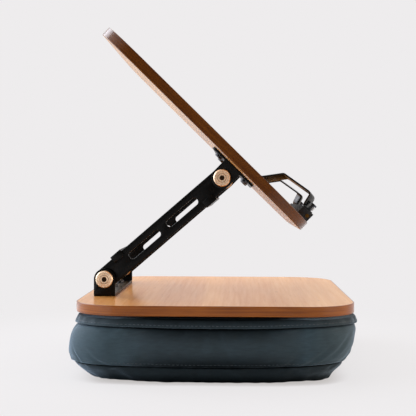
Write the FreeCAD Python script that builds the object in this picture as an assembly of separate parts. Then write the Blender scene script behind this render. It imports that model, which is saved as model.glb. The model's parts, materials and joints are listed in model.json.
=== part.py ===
import FreeCAD, Part
import math
import os

from FreeCAD import Placement, Rotation, Vector

# A lap stand for reading: a stuffed cushion under a base board, two slotted steel arms, and a book
# plate with a ledge and two sprung page clips. Millimetres and degrees throughout.
# The origin is on the floor under the middle of the base board. +X points to the reader,
# +Y to the reader's right and +Z up.

# Boards
board_length = 250.0
board_width = 300.0
board_thickness = 9.0
board_corner = 45.0
edge_band_thickness = 1.0
edge_band_round = 0.6
glue_line = 0.02
overshoot = 1.0

# Cushion
cushion_height = 56.5
lower_seam_height = 13.5
upper_seam_height = 47.5
contact_inset = 17.0
base_roll_start = 12.0
lower_seam_out = 1.6
side_bulge = 5.9
side_crown_drop = 0.85
upper_seam_out = -0.4
band_bulge = 1.5
band_crown_end = 0.83
top_edge_in = 2.0
top_edge_sharpness = 6
side_lean = 4.0
side_lean_evenness = 0.7
cover_thickness = 1.2
filling_clearance = 0.3
panel_sections = 6

# Fastening strips between the board and the cushion
strip_thickness = 1.0
strip_width = 25.0
strip_length = 190.0
strip_spacing = 190.0

# Arms and their pose
arm_length = 145.6
arm_elevation = 40.9
arm_width = 20.0
arm_thickness = 3.0
slot_length = 37.5
slot_width = 7.0
slot_spacing = 46.4
steel_edge = 0.4

# Cross braces
brace_width = 12.0
brace_offset = 23.0
brace_thickness = 2.0
brace_bend = 1.2
brace_lip = 5.0

# Brackets
bracket_length = 148.0
bracket_steel = 2.5
bracket_bend = 2.0
ear_width = 20.0
pivot_height = 16.0
lower_pivot_x = -104.5
flange_width = 52.0
flange_corner = 4.0

# Hinge hardware
bolt_head_radius = 8.0
bolt_head_height = 2.5
bolt_head_chamfer = 0.7
bolt_shank_radius = 3.0
socket_across_flats = 4.6
socket_depth = 1.8
sleeve_radius = 4.0
nut_flange_radius = 9.5
nut_flange_height = 2.0
nut_flange_round = 0.8
washer_radius = 9.0
washer_thickness = 1.0
turning_gap = 0.1
shaft_clearance = 0.05

# Wood screws
screw_head_radius = 4.0
screw_head_height = 2.6
screw_head_round = 1.2
screw_shank_radius = 1.7
screw_bite = 6.5
screw_slot_length = 4.8
screw_slot_width = 1.0
screw_slot_depth = 1.0
screw_hole_clearance = 0.3
pilot_clearance = 0.05
lower_screw_spacing = 45.0
lower_screw_count = 3
upper_screw_reach = 17.0
upper_screw_spacing = 110.0

# Book plate
plate_angle = 44.45
pivot_to_lower_edge = 83.9

# Ledge along the plate's lower edge
ledge_length = 210.0
ledge_depth = 12.0
ledge_height = 9.0
ledge_wall = 1.8
ledge_setback = 1.4
ledge_round = 0.6
cap_thickness = 1.6
cap_plug_length = 6.0
cap_plug_clearance = 0.1
cap_screw_radius = 0.9
cap_screw_head_radius = 1.8
cap_screw_head_height = 0.9
cap_screw_length = 5.0
cap_screw_forward = 2.6
ledge_screw_count = 4
ledge_screw_spacing = 56.0
ledge_screw_radius = 1.5
ledge_screw_head_radius = 3.2
ledge_screw_head_height = 1.9
ledge_screw_recess = 0.3

# Page clips: a strip folded along slanting lines, from its tab on the ledge to its pad on the page
clip_width = 10.0
clip_thickness = 1.4
clip_from_ledge_end = 23.0
clip_skew = 33.0
clip_tab_length = 9.0
clip_leg_length = 16.2
clip_span_length = 31.8
clip_pad_length = 6.0
clip_leg_angle = 95.6
clip_span_angle = -11.0
clip_foot_angle = -66.5
clip_bend_radius = 2.2
clip_bend_facets = 3
clip_end_round = 3.0
clip_page_gap = 0.3
clip_seat_gap = 0.1
tab_behind_ledge_front = 0.4
post_behind_ledge_front = 4.2
post_side_step = 1.5
post_radius = 1.5
post_hole_radius = 2.2
post_head_radius = 2.8
post_head_height = 1.8
post_head_round = 0.6
post_slot_width = 0.7
post_slot_depth = 0.6
post_bite = 5.0

# Clip springs
spring_wire = 0.7
spring_radius = 2.45
spring_pitch = 1.2
spring_turns = 3.5
spring_seat_gap = 0.05
spring_start_angle = 90.0

# Places that follow from the sizes above
strips_height = 2 * strip_thickness
board_bottom = cushion_height + strips_height
board_top = board_bottom + board_thickness
lower_pivot = Vector(lower_pivot_x, 0, board_top + pivot_height)
elevation = math.radians(arm_elevation)
arm_reach = Vector(arm_length * math.cos(elevation), 0, arm_length * math.sin(elevation))
upper_pivot = lower_pivot + arm_reach
ear_outer = bracket_length / 2
ear_inner = ear_outer - bracket_steel
washer_inner = ear_inner - washer_thickness
bar_outer = washer_inner - turning_gap
bar_inner = bar_outer - arm_thickness
nut_outer = bar_inner - turning_gap
nut_inner = nut_outer - nut_flange_height
plate_under = pivot_height
plate_face = plate_under + board_thickness
plate_middle = pivot_to_lower_edge - board_length / 2
ledge_front = pivot_to_lower_edge - ledge_setback
ledge_middle = ledge_front - ledge_depth / 2
ledge_top = plate_face + ledge_height
tab_top = ledge_top + clip_seat_gap + clip_thickness
post_forward = ledge_front - post_behind_ledge_front
spring_height = spring_turns * spring_pitch + spring_wire
post_head_under = tab_top + spring_height + 2 * spring_seat_gap

near_side = -1
far_side = 1
sides = (near_side, far_side)
upright = Vector(0, 0, 1)
across = Vector(0, 1, 0)
base_frame = Placement(lower_pivot, Rotation())
arm_frame = Placement(lower_pivot, Rotation(across, -arm_elevation))
plate_frame = Placement(upper_pivot, Rotation(across, plate_angle))


def placed(shape, frame):
    """A copy of the shape, moved from a local frame to its place on the object."""
    moved = shape.copy()
    moved.Placement = frame.multiply(moved.Placement)
    return moved


def save(node, solids):
    """Write one node, from one solid or a group of separate solids."""
    shape = solids[0] if len(solids) == 1 else Part.makeCompound(solids)
    if not shape.isValid():
        raise RuntimeError(node + " is not a valid shape")
    shape.exportStep("parts/" + node + ".step")
    print(node, "solids", len(shape.Solids), "volume", round(shape.Volume, 1))


def box(x_from, x_to, y_from, y_to, z_from, z_to):
    corner = Vector(x_from, y_from, z_from)
    return Part.makeBox(x_to - x_from, y_to - y_from, z_to - z_from, corner)


def crosswise_cylinder(radius, inner, outer, side, x=0.0, z=0.0):
    """A cylinder along Y from the distance inner to the distance outer from the middle plane."""
    start = Vector(x, side * inner, z)
    return Part.makeCylinder(radius, outer - inner, start, across * side)


def rounded_outline(half_x, half_y, radius, z=0.0, shift_x=0.0):
    """A rectangle with round corners, as a closed wire of four lines and four arcs."""
    centre_x = half_x - radius
    centre_y = half_y - radius
    diagonal = radius * math.sqrt(0.5)
    edges = []
    for quarter, (sign_x, sign_y) in enumerate(((1, 1), (-1, 1), (-1, -1), (1, -1))):
        middle = Vector(shift_x + sign_x * centre_x, sign_y * centre_y, z)
        along_x = middle + Vector(sign_x * radius, 0, 0)
        along_y = middle + Vector(0, sign_y * radius, 0)
        start, end = (along_x, along_y) if quarter % 2 == 0 else (along_y, along_x)
        corner = middle + Vector(sign_x * diagonal, sign_y * diagonal, 0)
        edges.append(Part.Arc(start, corner, end).toShape())
    outline = []
    for number, arc in enumerate(edges):
        following = edges[(number + 1) % len(edges)]
        line = Part.LineSegment(arc.lastVertex(True).Point, following.firstVertex(True).Point)
        outline.extend((arc, line.toShape()))
    return Part.Wire(outline)


def rounded_slab(half_x, half_y, radius, z_from, z_to):
    face = Part.Face(rounded_outline(half_x, half_y, radius, z_from))
    return face.extrude(Vector(0, 0, z_to - z_from))


def stadium(length, width, y_from, y_to, start_x=0.0):
    """A bar with round ends in the XZ plane, from the centre of one end to that of the other."""
    radius = width / 2
    low = Vector(start_x, y_from, -radius)
    high = Vector(start_x, y_from, radius)
    shift = Vector(length, 0, 0)
    edges = (
        Part.LineSegment(low, low + shift).toShape(),
        Part.Arc(low + shift, Vector(start_x + length + radius, y_from, 0), high + shift).toShape(),
        Part.LineSegment(high + shift, high).toShape(),
        Part.Arc(high, Vector(start_x - radius, y_from, 0), low).toShape(),
    )
    return Part.Face(Part.Wire(edges)).extrude(Vector(0, y_to - y_from, 0))


def edges_where(shape, test):
    return [edge for edge in shape.Edges if test(edge)]


def flat_at(edge, z):
    """True for an edge that lies in the level plane at height z."""
    bounds = edge.BoundBox
    return abs(bounds.ZMin - z) < 1e-6 and abs(bounds.ZMax - z) < 1e-6


# Boards


def board_core(thickness_from):
    """The board inside its edge band, with its underside at thickness_from."""
    inset = edge_band_thickness + glue_line
    return rounded_slab(
        board_length / 2 - inset,
        board_width / 2 - inset,
        board_corner - inset,
        thickness_from,
        thickness_from + board_thickness,
    )


def edge_band(thickness_from):
    """The thin band glued round a board, with its two outer edges rounded."""
    top = thickness_from + board_thickness
    outside = rounded_slab(board_length / 2, board_width / 2, board_corner, thickness_from, top)
    rims = edges_where(outside, lambda edge: flat_at(edge, thickness_from) or flat_at(edge, top))
    outside = outside.makeFillet(edge_band_round, rims)
    inset = edge_band_thickness
    inside = rounded_slab(
        board_length / 2 - inset,
        board_width / 2 - inset,
        board_corner - inset,
        thickness_from,
        top,
    )
    return outside.cut(inside)


def row_of_places(x, count, spacing):
    """Evenly spaced places along Y, centred on the middle plane."""
    first = -spacing * (count - 1) / 2
    return [Vector(x, first + number * spacing, 0) for number in range(count)]


def lower_screw_places():
    return row_of_places(lower_pivot_x, lower_screw_count, lower_screw_spacing)


def upper_screw_places():
    places = []
    for forward in (-upper_screw_reach, upper_screw_reach):
        for side in sides:
            places.append(Vector(forward, side * upper_screw_spacing / 2, 0))
    return places


def ledge_screw_places():
    return row_of_places(ledge_middle, ledge_screw_count, ledge_screw_spacing)


def base_board():
    core = board_core(board_bottom)
    depth = screw_bite + pilot_clearance
    for place in lower_screw_places():
        start = place + Vector(0, 0, board_top - depth)
        core = core.cut(Part.makeCylinder(screw_shank_radius + pilot_clearance, depth, start, upright))
    return core


def book_plate():
    """The book plate in its own frame: origin at the upper pivot, +Z out of the reading face."""
    core = board_core(plate_under)
    core.translate(Vector(plate_middle, 0, 0))
    depth = screw_bite + pilot_clearance
    for place in upper_screw_places():
        start = place + Vector(0, 0, plate_under)
        core = core.cut(Part.makeCylinder(screw_shank_radius + pilot_clearance, depth, start, upright))
    for place in ledge_screw_places():
        start = place + Vector(0, 0, plate_under)
        core = core.cut(Part.makeCylinder(ledge_screw_radius + pilot_clearance, board_thickness, start, upright))
        core = core.cut(ledge_screw_seat(start))
    return core


def ledge_screw_seat(start):
    """The countersink for one ledge screw, open to the underside of the plate."""
    mouth = Part.makeCylinder(ledge_screw_head_radius + pilot_clearance, ledge_screw_recess, start, upright)
    cone_start = start + Vector(0, 0, ledge_screw_recess)
    cone = Part.makeCone(
        ledge_screw_head_radius + pilot_clearance,
        ledge_screw_radius + pilot_clearance,
        ledge_screw_head_height,
        cone_start,
        upright,
    )
    return mouth.fuse(cone)


def plate_edge_band():
    band = edge_band(plate_under)
    band.translate(Vector(plate_middle, 0, 0))
    return band


# Cushion


def lean_at(z):
    """How far the soft sides hang towards -X at height z: nothing at the floor and above the seam."""
    share = min(1.0, z / upper_seam_height)
    if share <= 0.0 or share >= 1.0:
        return 0.0
    return -side_lean * math.sin(math.pi * share) ** side_lean_evenness


def cushion_section(z, out, inset):
    grown = out - inset
    return rounded_outline(
        board_length / 2 + grown,
        board_width / 2 + grown,
        board_corner + grown,
        z,
        lean_at(z),
    )


def base_panel_sections(inset):
    """From the flat that rests on the floor, rolled up and out to the lower seam."""
    sections = []
    first = math.radians(base_roll_start)
    for step in range(panel_sections):
        turn = first + (math.pi / 2 - first) * step / (panel_sections - 1)
        rise = 1 - math.cos(turn) / math.cos(first)
        reach = (math.sin(turn) - math.sin(first)) / (1 - math.sin(first))
        z = inset + (lower_seam_height - inset) * rise
        out = -contact_inset + (contact_inset + lower_seam_out) * reach
        sections.append(cushion_section(z, out, inset))
    return sections


def side_panel_sections(inset):
    """From the lower seam to the upper seam, crowned outwards between them."""
    sections = []
    for step in range(panel_sections + 1):
        share = step / panel_sections
        z = lower_seam_height + share * (upper_seam_height - lower_seam_height)
        straight = lower_seam_out + share * (upper_seam_out - lower_seam_out)
        out = straight + side_bulge * math.sin(math.pi * share ** side_crown_drop)
        sections.append(cushion_section(z, out, inset))
    return sections


def top_panel_sections(inset):
    """The upright band above the upper seam, turned in at the top."""
    sections = []
    top = cushion_height - inset
    for step in range(panel_sections):
        share = step / (panel_sections - 1)
        z = upper_seam_height + share * (top - upper_seam_height)
        crown = band_bulge * math.sin(math.pi * min(1.0, share / band_crown_end))
        out = upper_seam_out + crown - top_edge_in * share ** top_edge_sharpness
        sections.append(cushion_section(z, out, inset))
    return sections


def cover_panel(panel):
    outside = Part.makeLoft(panel(0.0), True, False)
    inside = Part.makeLoft(panel(cover_thickness), True, False)
    return outside.cut(inside)


def cushion_filling():
    inset = cover_thickness + filling_clearance
    base = Part.makeLoft(base_panel_sections(inset), True, False)
    side = Part.makeLoft(side_panel_sections(inset), True, False)
    top = Part.makeLoft(top_panel_sections(inset), True, False)
    return base.fuse(side).fuse(top)


def fastening_strips(z_from):
    strips = []
    for side in sides:
        middle = side * strip_spacing / 2
        strips.append(
            box(
                -strip_length / 2,
                strip_length / 2,
                middle - strip_width / 2,
                middle + strip_width / 2,
                z_from,
                z_from + strip_thickness,
            )
        )
    return strips


# Brackets and arms


def ear(inner, outer, side, foot):
    """One ear of a bracket: round about the pivot, and straight down to the foot level."""
    radius = ear_width / 2
    start = side * inner
    reach = side * (outer - inner)
    corners = (
        Vector(-radius, start, foot),
        Vector(radius, start, foot),
        Vector(radius, start, 0),
        Vector(-radius, start, 0),
    )
    crown = Vector(0, start, math.copysign(radius, -foot))
    edges = (
        Part.LineSegment(corners[0], corners[1]).toShape(),
        Part.LineSegment(corners[1], corners[2]).toShape(),
        Part.Arc(corners[2], crown, corners[3]).toShape(),
        Part.LineSegment(corners[3], corners[0]).toShape(),
    )
    return Part.Face(Part.Wire(edges)).extrude(Vector(0, reach, 0))


def bend_edges(shape, z):
    """The two long outer edges where the ears fold out of the bracket's foot at height z."""
    found = []
    for edge in edges_where(shape, lambda item: flat_at(item, z)):
        bounds = edge.BoundBox
        at_side = abs(abs(bounds.Center.y) - ear_outer) < 1e-6 and bounds.YLength < 1e-6
        if at_side:
            found.append(edge)
    return found


def lower_bracket():
    """In the lower pivot's frame: a narrow foot on the base board and an ear at each end."""
    foot = -pivot_height
    radius = ear_width / 2
    shape = box(-radius, radius, -ear_outer, ear_outer, foot, foot + bracket_steel)
    for side in sides:
        shape = shape.fuse(ear(ear_inner, ear_outer, side, foot))
    shape = shape.removeSplitter()
    shape = shape.makeFillet(bracket_bend, bend_edges(shape, foot))
    for side in sides:
        bore = crosswise_cylinder(sleeve_radius + shaft_clearance, ear_inner - overshoot, ear_outer + overshoot, side)
        shape = shape.cut(bore)
    for place in lower_screw_places():
        start = Vector(0, place.y, foot)
        hole = Part.makeCylinder(screw_shank_radius + screw_hole_clearance, bracket_steel, start, upright)
        shape = shape.cut(hole)
    return shape


def upper_bracket():
    """In the plate's frame: a wide flange under the book plate and an ear at each end."""
    foot = plate_under
    flange_under = foot - bracket_steel
    shape = rounded_slab(flange_width / 2, ear_outer, flange_corner, flange_under, foot)
    for side in sides:
        shape = shape.fuse(ear(ear_inner, ear_outer, side, foot))
    shape = shape.removeSplitter()
    for side in sides:
        bore = crosswise_cylinder(sleeve_radius + shaft_clearance, ear_inner - overshoot, ear_outer + overshoot, side)
        shape = shape.cut(bore)
    for place in upper_screw_places():
        start = place + Vector(0, 0, flange_under)
        hole = Part.makeCylinder(screw_shank_radius + screw_hole_clearance, bracket_steel, start, upright)
        shape = shape.cut(hole)
    return shape


def arm_bar(side):
    """One flat bar with round ends, a bore at each end and two slots on its centreline."""
    low = min(side * bar_inner, side * bar_outer)
    high = max(side * bar_inner, side * bar_outer)
    bar = stadium(arm_length, arm_width, low, high)
    for direction in (-1, 1):
        centre = arm_length / 2 + direction * slot_spacing / 2
        straight = slot_length - slot_width
        slot = stadium(straight, slot_width, low, high, centre - straight / 2)
        bar = bar.cut(slot)
    rims = edges_where(bar, lambda edge: edge.BoundBox.YLength < 1e-6)
    bar = bar.makeChamfer(steel_edge, rims)
    for x in (0.0, arm_length):
        bar = bar.cut(crosswise_cylinder(sleeve_radius + shaft_clearance, bar_inner, bar_outer, side, x))
    return bar


def cross_brace(x_middle, direction):
    """A strip across both bars on their upper (+1) or lower (-1) edge, with a lip over each outer face."""
    x_from = x_middle - brace_width / 2
    x_to = x_middle + brace_width / 2
    edge = arm_width / 2
    lip_end = edge - brace_lip
    outside = bar_outer + brace_thickness
    levels = sorted((direction * edge, direction * (edge + brace_thickness)))
    lip_levels = sorted((direction * lip_end, direction * (edge + brace_thickness)))
    shape = box(x_from, x_to, -outside, outside, levels[0], levels[1])
    for side in sides:
        y_levels = sorted((side * bar_outer, side * outside))
        shape = shape.fuse(box(x_from, x_to, y_levels[0], y_levels[1], lip_levels[0], lip_levels[1]))
    shape = shape.removeSplitter()
    folds = edges_where(
        shape,
        lambda item: flat_at(item, direction * (edge + brace_thickness))
        and item.BoundBox.YLength < 1e-6,
    )
    return shape.makeFillet(brace_bend, folds)


# Hinge hardware


def hex_prism(across_flats, inner, outer, side):
    corner_radius = across_flats / math.sqrt(3)
    points = []
    for number in range(6):
        turn = math.radians(60 * number)
        points.append(Vector(corner_radius * math.cos(turn), side * inner, corner_radius * math.sin(turn)))
    points.append(points[0])
    return Part.Face(Part.makePolygon(points)).extrude(Vector(0, side * (outer - inner), 0))


def hinge_bolt(side, seat_gap):
    """A flat-headed bolt with a hex socket, screwed into the sleeve nut from outside the ear."""
    head_from = ear_outer + seat_gap
    head_to = head_from + bolt_head_height
    head = crosswise_cylinder(bolt_head_radius, head_from, head_to, side)
    rim = edges_where(head, lambda edge: abs(edge.BoundBox.Center.y - side * head_to) < 1e-6)
    rim = [edge for edge in rim if edge.BoundBox.YLength < 1e-6]
    head = head.makeChamfer(bolt_head_chamfer, rim)
    head = head.cut(hex_prism(socket_across_flats, head_to - socket_depth, head_to + overshoot, side))
    shank = crosswise_cylinder(bolt_shank_radius, nut_outer, head_from, side)
    return head.fuse(shank).removeSplitter()


def sleeve_nut(side):
    """A nut with a wide round flange inside the bar, and a sleeve that the bar and the ear turn on."""
    flange = crosswise_cylinder(nut_flange_radius, nut_inner, nut_outer, side)
    rim = edges_where(
        flange,
        lambda edge: abs(edge.BoundBox.Center.y - side * nut_inner) < 1e-6 and edge.BoundBox.YLength < 1e-6,
    )
    flange = flange.makeFillet(nut_flange_round, rim)
    sleeve = crosswise_cylinder(sleeve_radius, nut_outer, ear_outer, side)
    bore = crosswise_cylinder(bolt_shank_radius + shaft_clearance, nut_outer, ear_outer, side)
    return flange.fuse(sleeve).removeSplitter().cut(bore)


def friction_washer(side):
    disc = crosswise_cylinder(washer_radius, washer_inner, ear_inner - turning_gap, side)
    return disc.cut(crosswise_cylinder(sleeve_radius + shaft_clearance, washer_inner, ear_inner, side))


def pan_screw(place, seat, direction):
    """A pan-headed wood screw: its head stands out along direction from the seat level."""
    axis = upright * direction
    head = Part.makeCylinder(screw_head_radius, screw_head_height, place + upright * seat, axis)
    top = seat + direction * screw_head_height
    rim = edges_where(head, lambda edge: flat_at(edge, top))
    head = head.makeFillet(screw_head_round, rim)
    for turn in (0, 90):
        bar = box(
            -screw_slot_length / 2,
            screw_slot_length / 2,
            -screw_slot_width / 2,
            screw_slot_width / 2,
            min(top, top - direction * screw_slot_depth),
            max(top, top - direction * screw_slot_depth),
        )
        bar.rotate(Vector(0, 0, 0), upright, turn)
        bar.translate(place)
        head = head.cut(bar)
    shank_length = bracket_steel + screw_bite
    shank = Part.makeCylinder(screw_shank_radius, shank_length, place + upright * seat, axis * -1)
    return head.fuse(shank).removeSplitter()


# Ledge


def book_ledge():
    """A square tube along the plate's lower edge, drilled for the clip posts and for its own screws."""
    low = plate_face
    outside = box(
        ledge_front - ledge_depth, ledge_front, -ledge_length / 2, ledge_length / 2, low, ledge_top
    )
    long_edges = edges_where(outside, lambda edge: abs(edge.BoundBox.YLength - ledge_length) < 1e-6)
    upper_edges = [edge for edge in long_edges if abs(edge.BoundBox.Center.z - ledge_top) < 1e-6]
    outside = outside.makeFillet(ledge_round, upper_edges)
    inside = box(
        ledge_front - ledge_depth + ledge_wall,
        ledge_front - ledge_wall,
        -ledge_length / 2,
        ledge_length / 2,
        low + ledge_wall,
        ledge_top - ledge_wall,
    )
    tube = outside.cut(inside)
    for side in sides:
        start = Vector(post_forward, side * post_offset(), ledge_top - ledge_wall)
        tube = tube.cut(Part.makeCylinder(post_radius + pilot_clearance, ledge_wall, start, upright))
    for place in ledge_screw_places():
        start = place + Vector(0, 0, low)
        tube = tube.cut(Part.makeCylinder(ledge_screw_radius + pilot_clearance, ledge_wall, start, upright))
    return tube


def ledge_end_cap(side):
    """A cap over the tube's end with a plug inside it and a hole for its screw."""
    end = ledge_length / 2
    levels = sorted((side * end, side * (end + cap_thickness)))
    cap = box(ledge_front - ledge_depth, ledge_front, levels[0], levels[1], plate_face, ledge_top)
    inset = ledge_wall + cap_plug_clearance
    plug_levels = sorted((side * end, side * (end - cap_plug_length)))
    plug = box(
        ledge_front - ledge_depth + inset,
        ledge_front - inset,
        plug_levels[0],
        plug_levels[1],
        plate_face + inset,
        ledge_top - inset,
    )
    cap = cap.fuse(plug).removeSplitter()
    hole = crosswise_cylinder(
        cap_screw_radius + pilot_clearance,
        end - cap_screw_length,
        end + cap_thickness,
        side,
        ledge_middle + cap_screw_forward,
        plate_face + ledge_height / 2,
    )
    return cap.cut(hole)


def ledge_end_screw(side):
    end = ledge_length / 2 + cap_thickness
    x = ledge_middle + cap_screw_forward
    z = plate_face + ledge_height / 2
    head = crosswise_cylinder(cap_screw_head_radius, end, end + cap_screw_head_height, side, x, z)
    shank = crosswise_cylinder(cap_screw_radius, ledge_length / 2 - cap_screw_length, end, side, x, z)
    return head.fuse(shank).removeSplitter()


def ledge_screw(place):
    """A countersunk screw from the underside of the plate up through the ledge's lower wall."""
    start = place + Vector(0, 0, plate_under + ledge_screw_recess)
    head = Part.makeCone(
        ledge_screw_head_radius, ledge_screw_radius, ledge_screw_head_height, start, upright
    )
    length = board_thickness + ledge_wall - ledge_screw_recess
    shank = Part.makeCylinder(ledge_screw_radius, length, start, upright)
    return head.fuse(shank).removeSplitter()


# Page clips


def clip_offset():
    """Distance of each clip's tab from the middle plane."""
    return ledge_length / 2 - clip_from_ledge_end


def post_offset():
    """Distance of each clip post from the middle plane."""
    return clip_offset() + post_side_step


def clip_directions():
    """The fold line's direction for the near clip, and the level direction square to it."""
    skew = math.radians(clip_skew)
    fold = Vector(math.sin(skew), math.cos(skew), 0)
    square = Vector(-math.cos(skew), math.sin(skew), 0)
    return fold, square


def strip_direction(slope):
    """The way the strip runs on a stretch that slopes up by this angle about the fold line."""
    skew = math.radians(clip_skew)
    tilt = math.radians(slope)
    fold, square = clip_directions()
    return fold * -math.sin(skew) + (square * math.cos(tilt) + upright * math.sin(tilt)) * math.cos(skew)


def strip_normal(slope):
    tilt = math.radians(slope)
    _, square = clip_directions()
    return upright * math.cos(tilt) - square * math.sin(tilt)


def clip_route():
    """The strip's centreline as stretches of (length, slope), with each bend split into facets."""
    tab_level = ledge_top + clip_seat_gap + clip_thickness / 2
    pad_level = plate_face + clip_page_gap + clip_thickness / 2
    climb = clip_leg_length * strip_direction(clip_leg_angle).z
    climb += clip_span_length * strip_direction(clip_span_angle).z
    foot_length = (tab_level + climb - pad_level) / -strip_direction(clip_foot_angle).z
    lengths = (clip_tab_length, clip_leg_length, clip_span_length, foot_length, clip_pad_length)
    slopes = (0.0, clip_leg_angle, clip_span_angle, clip_foot_angle, 0.0)
    route = []
    setback_before = 0.0
    for number, (length, slope) in enumerate(zip(lengths, slopes)):
        last = number == len(lengths) - 1
        turn = 0.0 if last else slopes[number + 1] - slope
        setback = clip_bend_radius * math.tan(math.radians(abs(turn)) / 2) / math.cos(math.radians(clip_skew))
        route.append((length - setback_before - setback, slope))
        if not last:
            step = turn / (clip_bend_facets + 1)
            facet = 2 * clip_bend_radius * math.tan(math.radians(abs(step)) / 2)
            facet /= math.cos(math.radians(clip_skew))
            for count in range(clip_bend_facets):
                route.append((facet, slope + step * (count + 1)))
        setback_before = setback
    return route


def clip_section(point, slope_before, slope_after, fold):
    """A four-cornered section of the strip across one fold."""
    before = strip_normal(slope_before)
    after = strip_normal(slope_after)
    mitre = (before + after) * (1 / (1 + before.dot(after)))
    half_fold = fold * (clip_width / 2 / math.cos(math.radians(clip_skew)))
    half_wall = mitre * (clip_thickness / 2)
    corners = [
        point - half_fold - half_wall,
        point + half_fold - half_wall,
        point + half_fold + half_wall,
        point - half_fold + half_wall,
    ]
    return Part.makePolygon(corners + corners[:1])


def clip_end_section(point):
    """The square end of the tab or the pad."""
    half_width = across * (clip_width / 2)
    half_wall = upright * (clip_thickness / 2)
    corners = [
        point - half_width - half_wall,
        point + half_width - half_wall,
        point + half_width + half_wall,
        point - half_width + half_wall,
    ]
    return Part.makePolygon(corners + corners[:1])


def corner_waste(tip, outwards, side):
    """What is cut away to round one corner at a strip end whose middle is at tip."""
    middle = tip + Vector(-outwards * clip_end_round, side * (clip_width / 2 - clip_end_round), 0)
    x_levels = sorted((middle.x, tip.x + outwards * overshoot))
    y_levels = sorted((middle.y, tip.y + side * (clip_width / 2 + overshoot)))
    low = tip.z - clip_thickness
    high = tip.z + clip_thickness
    block = box(x_levels[0], x_levels[1], y_levels[0], y_levels[1], low, high)
    rounding_start = Vector(middle.x, middle.y, low)
    return block.cut(Part.makeCylinder(clip_end_round, high - low, rounding_start, upright))


def near_page_clip():
    """The strip in the plate's frame, folded up from its tab on the ledge and down to its pad."""
    fold, _ = clip_directions()
    route = clip_route()
    tab_level = ledge_top + clip_seat_gap + clip_thickness / 2
    tab_tip = Vector(ledge_front - tab_behind_ledge_front, near_side * clip_offset(), tab_level)
    point = tab_tip
    sections = [clip_end_section(point)]
    for number, (length, slope) in enumerate(route):
        point = point + strip_direction(slope) * length
        if number < len(route) - 1:
            sections.append(clip_section(point, slope, route[number + 1][1], fold))
    sections.append(clip_end_section(point))
    clip = Part.makeLoft(sections, True, True)
    for tip, outwards in ((tab_tip, 1), (point, -1)):
        for side in sides:
            clip = clip.cut(corner_waste(tip, outwards, side))
    hole_start = Vector(post_forward, near_side * post_offset(), ledge_top)
    return clip.cut(Part.makeCylinder(post_hole_radius, 2 * clip_thickness, hole_start, upright))


def mirrored(shape):
    return shape.mirror(Vector(0, 0, 0), across)


def clip_post(side):
    """A shoulder screw that stands in the ledge, with its head over the spring."""
    place = Vector(post_forward, side * post_offset(), 0)
    bottom = ledge_top - post_bite
    shank = Part.makeCylinder(post_radius, post_head_under - bottom, place + upright * bottom, upright)
    head = Part.makeCylinder(post_head_radius, post_head_height, place + upright * post_head_under, upright)
    top = post_head_under + post_head_height
    rim = edges_where(head, lambda edge: flat_at(edge, top))
    head = head.makeFillet(post_head_round, rim)
    slot = box(
        -post_head_radius,
        post_head_radius,
        -post_slot_width / 2,
        post_slot_width / 2,
        top - post_slot_depth,
        top,
    )
    slot.rotate(Vector(0, 0, 0), upright, clip_skew)
    slot.translate(place)
    return shank.fuse(head).removeSplitter().cut(slot)


def helix_point(turn):
    """A point on the spring's centreline and the way the wire runs there, after some turns."""
    angle = 2 * math.pi * turn + math.radians(spring_start_angle)
    point = Vector(
        spring_radius * math.cos(angle),
        spring_radius * math.sin(angle),
        spring_wire / 2 + spring_pitch * turn,
    )
    tangent = Vector(
        -2 * math.pi * spring_radius * math.sin(angle),
        2 * math.pi * spring_radius * math.cos(angle),
        spring_pitch,
    )
    return point, tangent.normalize()


def arc_between(start, tangent, end):
    """The arc that leaves start along tangent and ends at end."""
    chord = end - start
    half = chord * 0.5
    along = half.normalize()
    bow = math.acos(max(-1.0, min(1.0, along.dot(tangent))))
    rise = (tangent - along * along.dot(tangent)).normalize()
    height = chord.Length / 2 * math.tan(bow / 2)
    middle = start + chord * 0.5 + rise * height
    return Part.Arc(start, middle, end).toShape()


def biarc(start, start_tangent, end, end_tangent):
    """Two arcs that join in one tangent, from one point and direction to another."""
    chord = end - start
    sum_tangent = start_tangent + end_tangent
    a = 2 * (1 - start_tangent.dot(end_tangent))
    b = 2 * chord.dot(sum_tangent)
    c = -chord.dot(chord)
    reach = (-b + math.sqrt(b * b - 4 * a * c)) / (2 * a)
    first = start + start_tangent * reach
    second = end - end_tangent * reach
    joint = (first + second) * 0.5
    joint_tangent = (second - first).normalize()
    return arc_between(start, start_tangent, joint), arc_between(joint, joint_tangent, end)


def clip_spring():
    """One unbroken wire wound round the post, on biarcs of a quarter turn."""
    edges = []
    quarters = int(round(spring_turns * 4))
    for quarter in range(quarters):
        start, start_tangent = helix_point(quarter / 4)
        end, end_tangent = helix_point((quarter + 1) / 4)
        edges.extend(biarc(start, start_tangent, end, end_tangent))
    start, tangent = helix_point(0)
    ring = Part.Wire(Part.Circle(start, tangent, spring_wire / 2).toShape())
    return Part.Wire(edges).makePipeShell([ring], True, False)


def print_spring_gap():
    """The least gap of the wound wire to itself, measured between points on its centreline."""
    steps = 60
    points = [helix_point(spring_turns * number / (steps * 4))[0] for number in range(steps * 4 + 1)]
    turn_steps = steps * 4 / spring_turns
    least = min(
        (first - second).Length
        for one, first in enumerate(points)
        for two, second in enumerate(points)
        if two - one > turn_steps / 2
    )
    print("least gap of a clip spring to itself", round(least - spring_wire, 3))


def in_frame(solids, frame):
    return [placed(solid, frame) for solid in solids]


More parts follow.
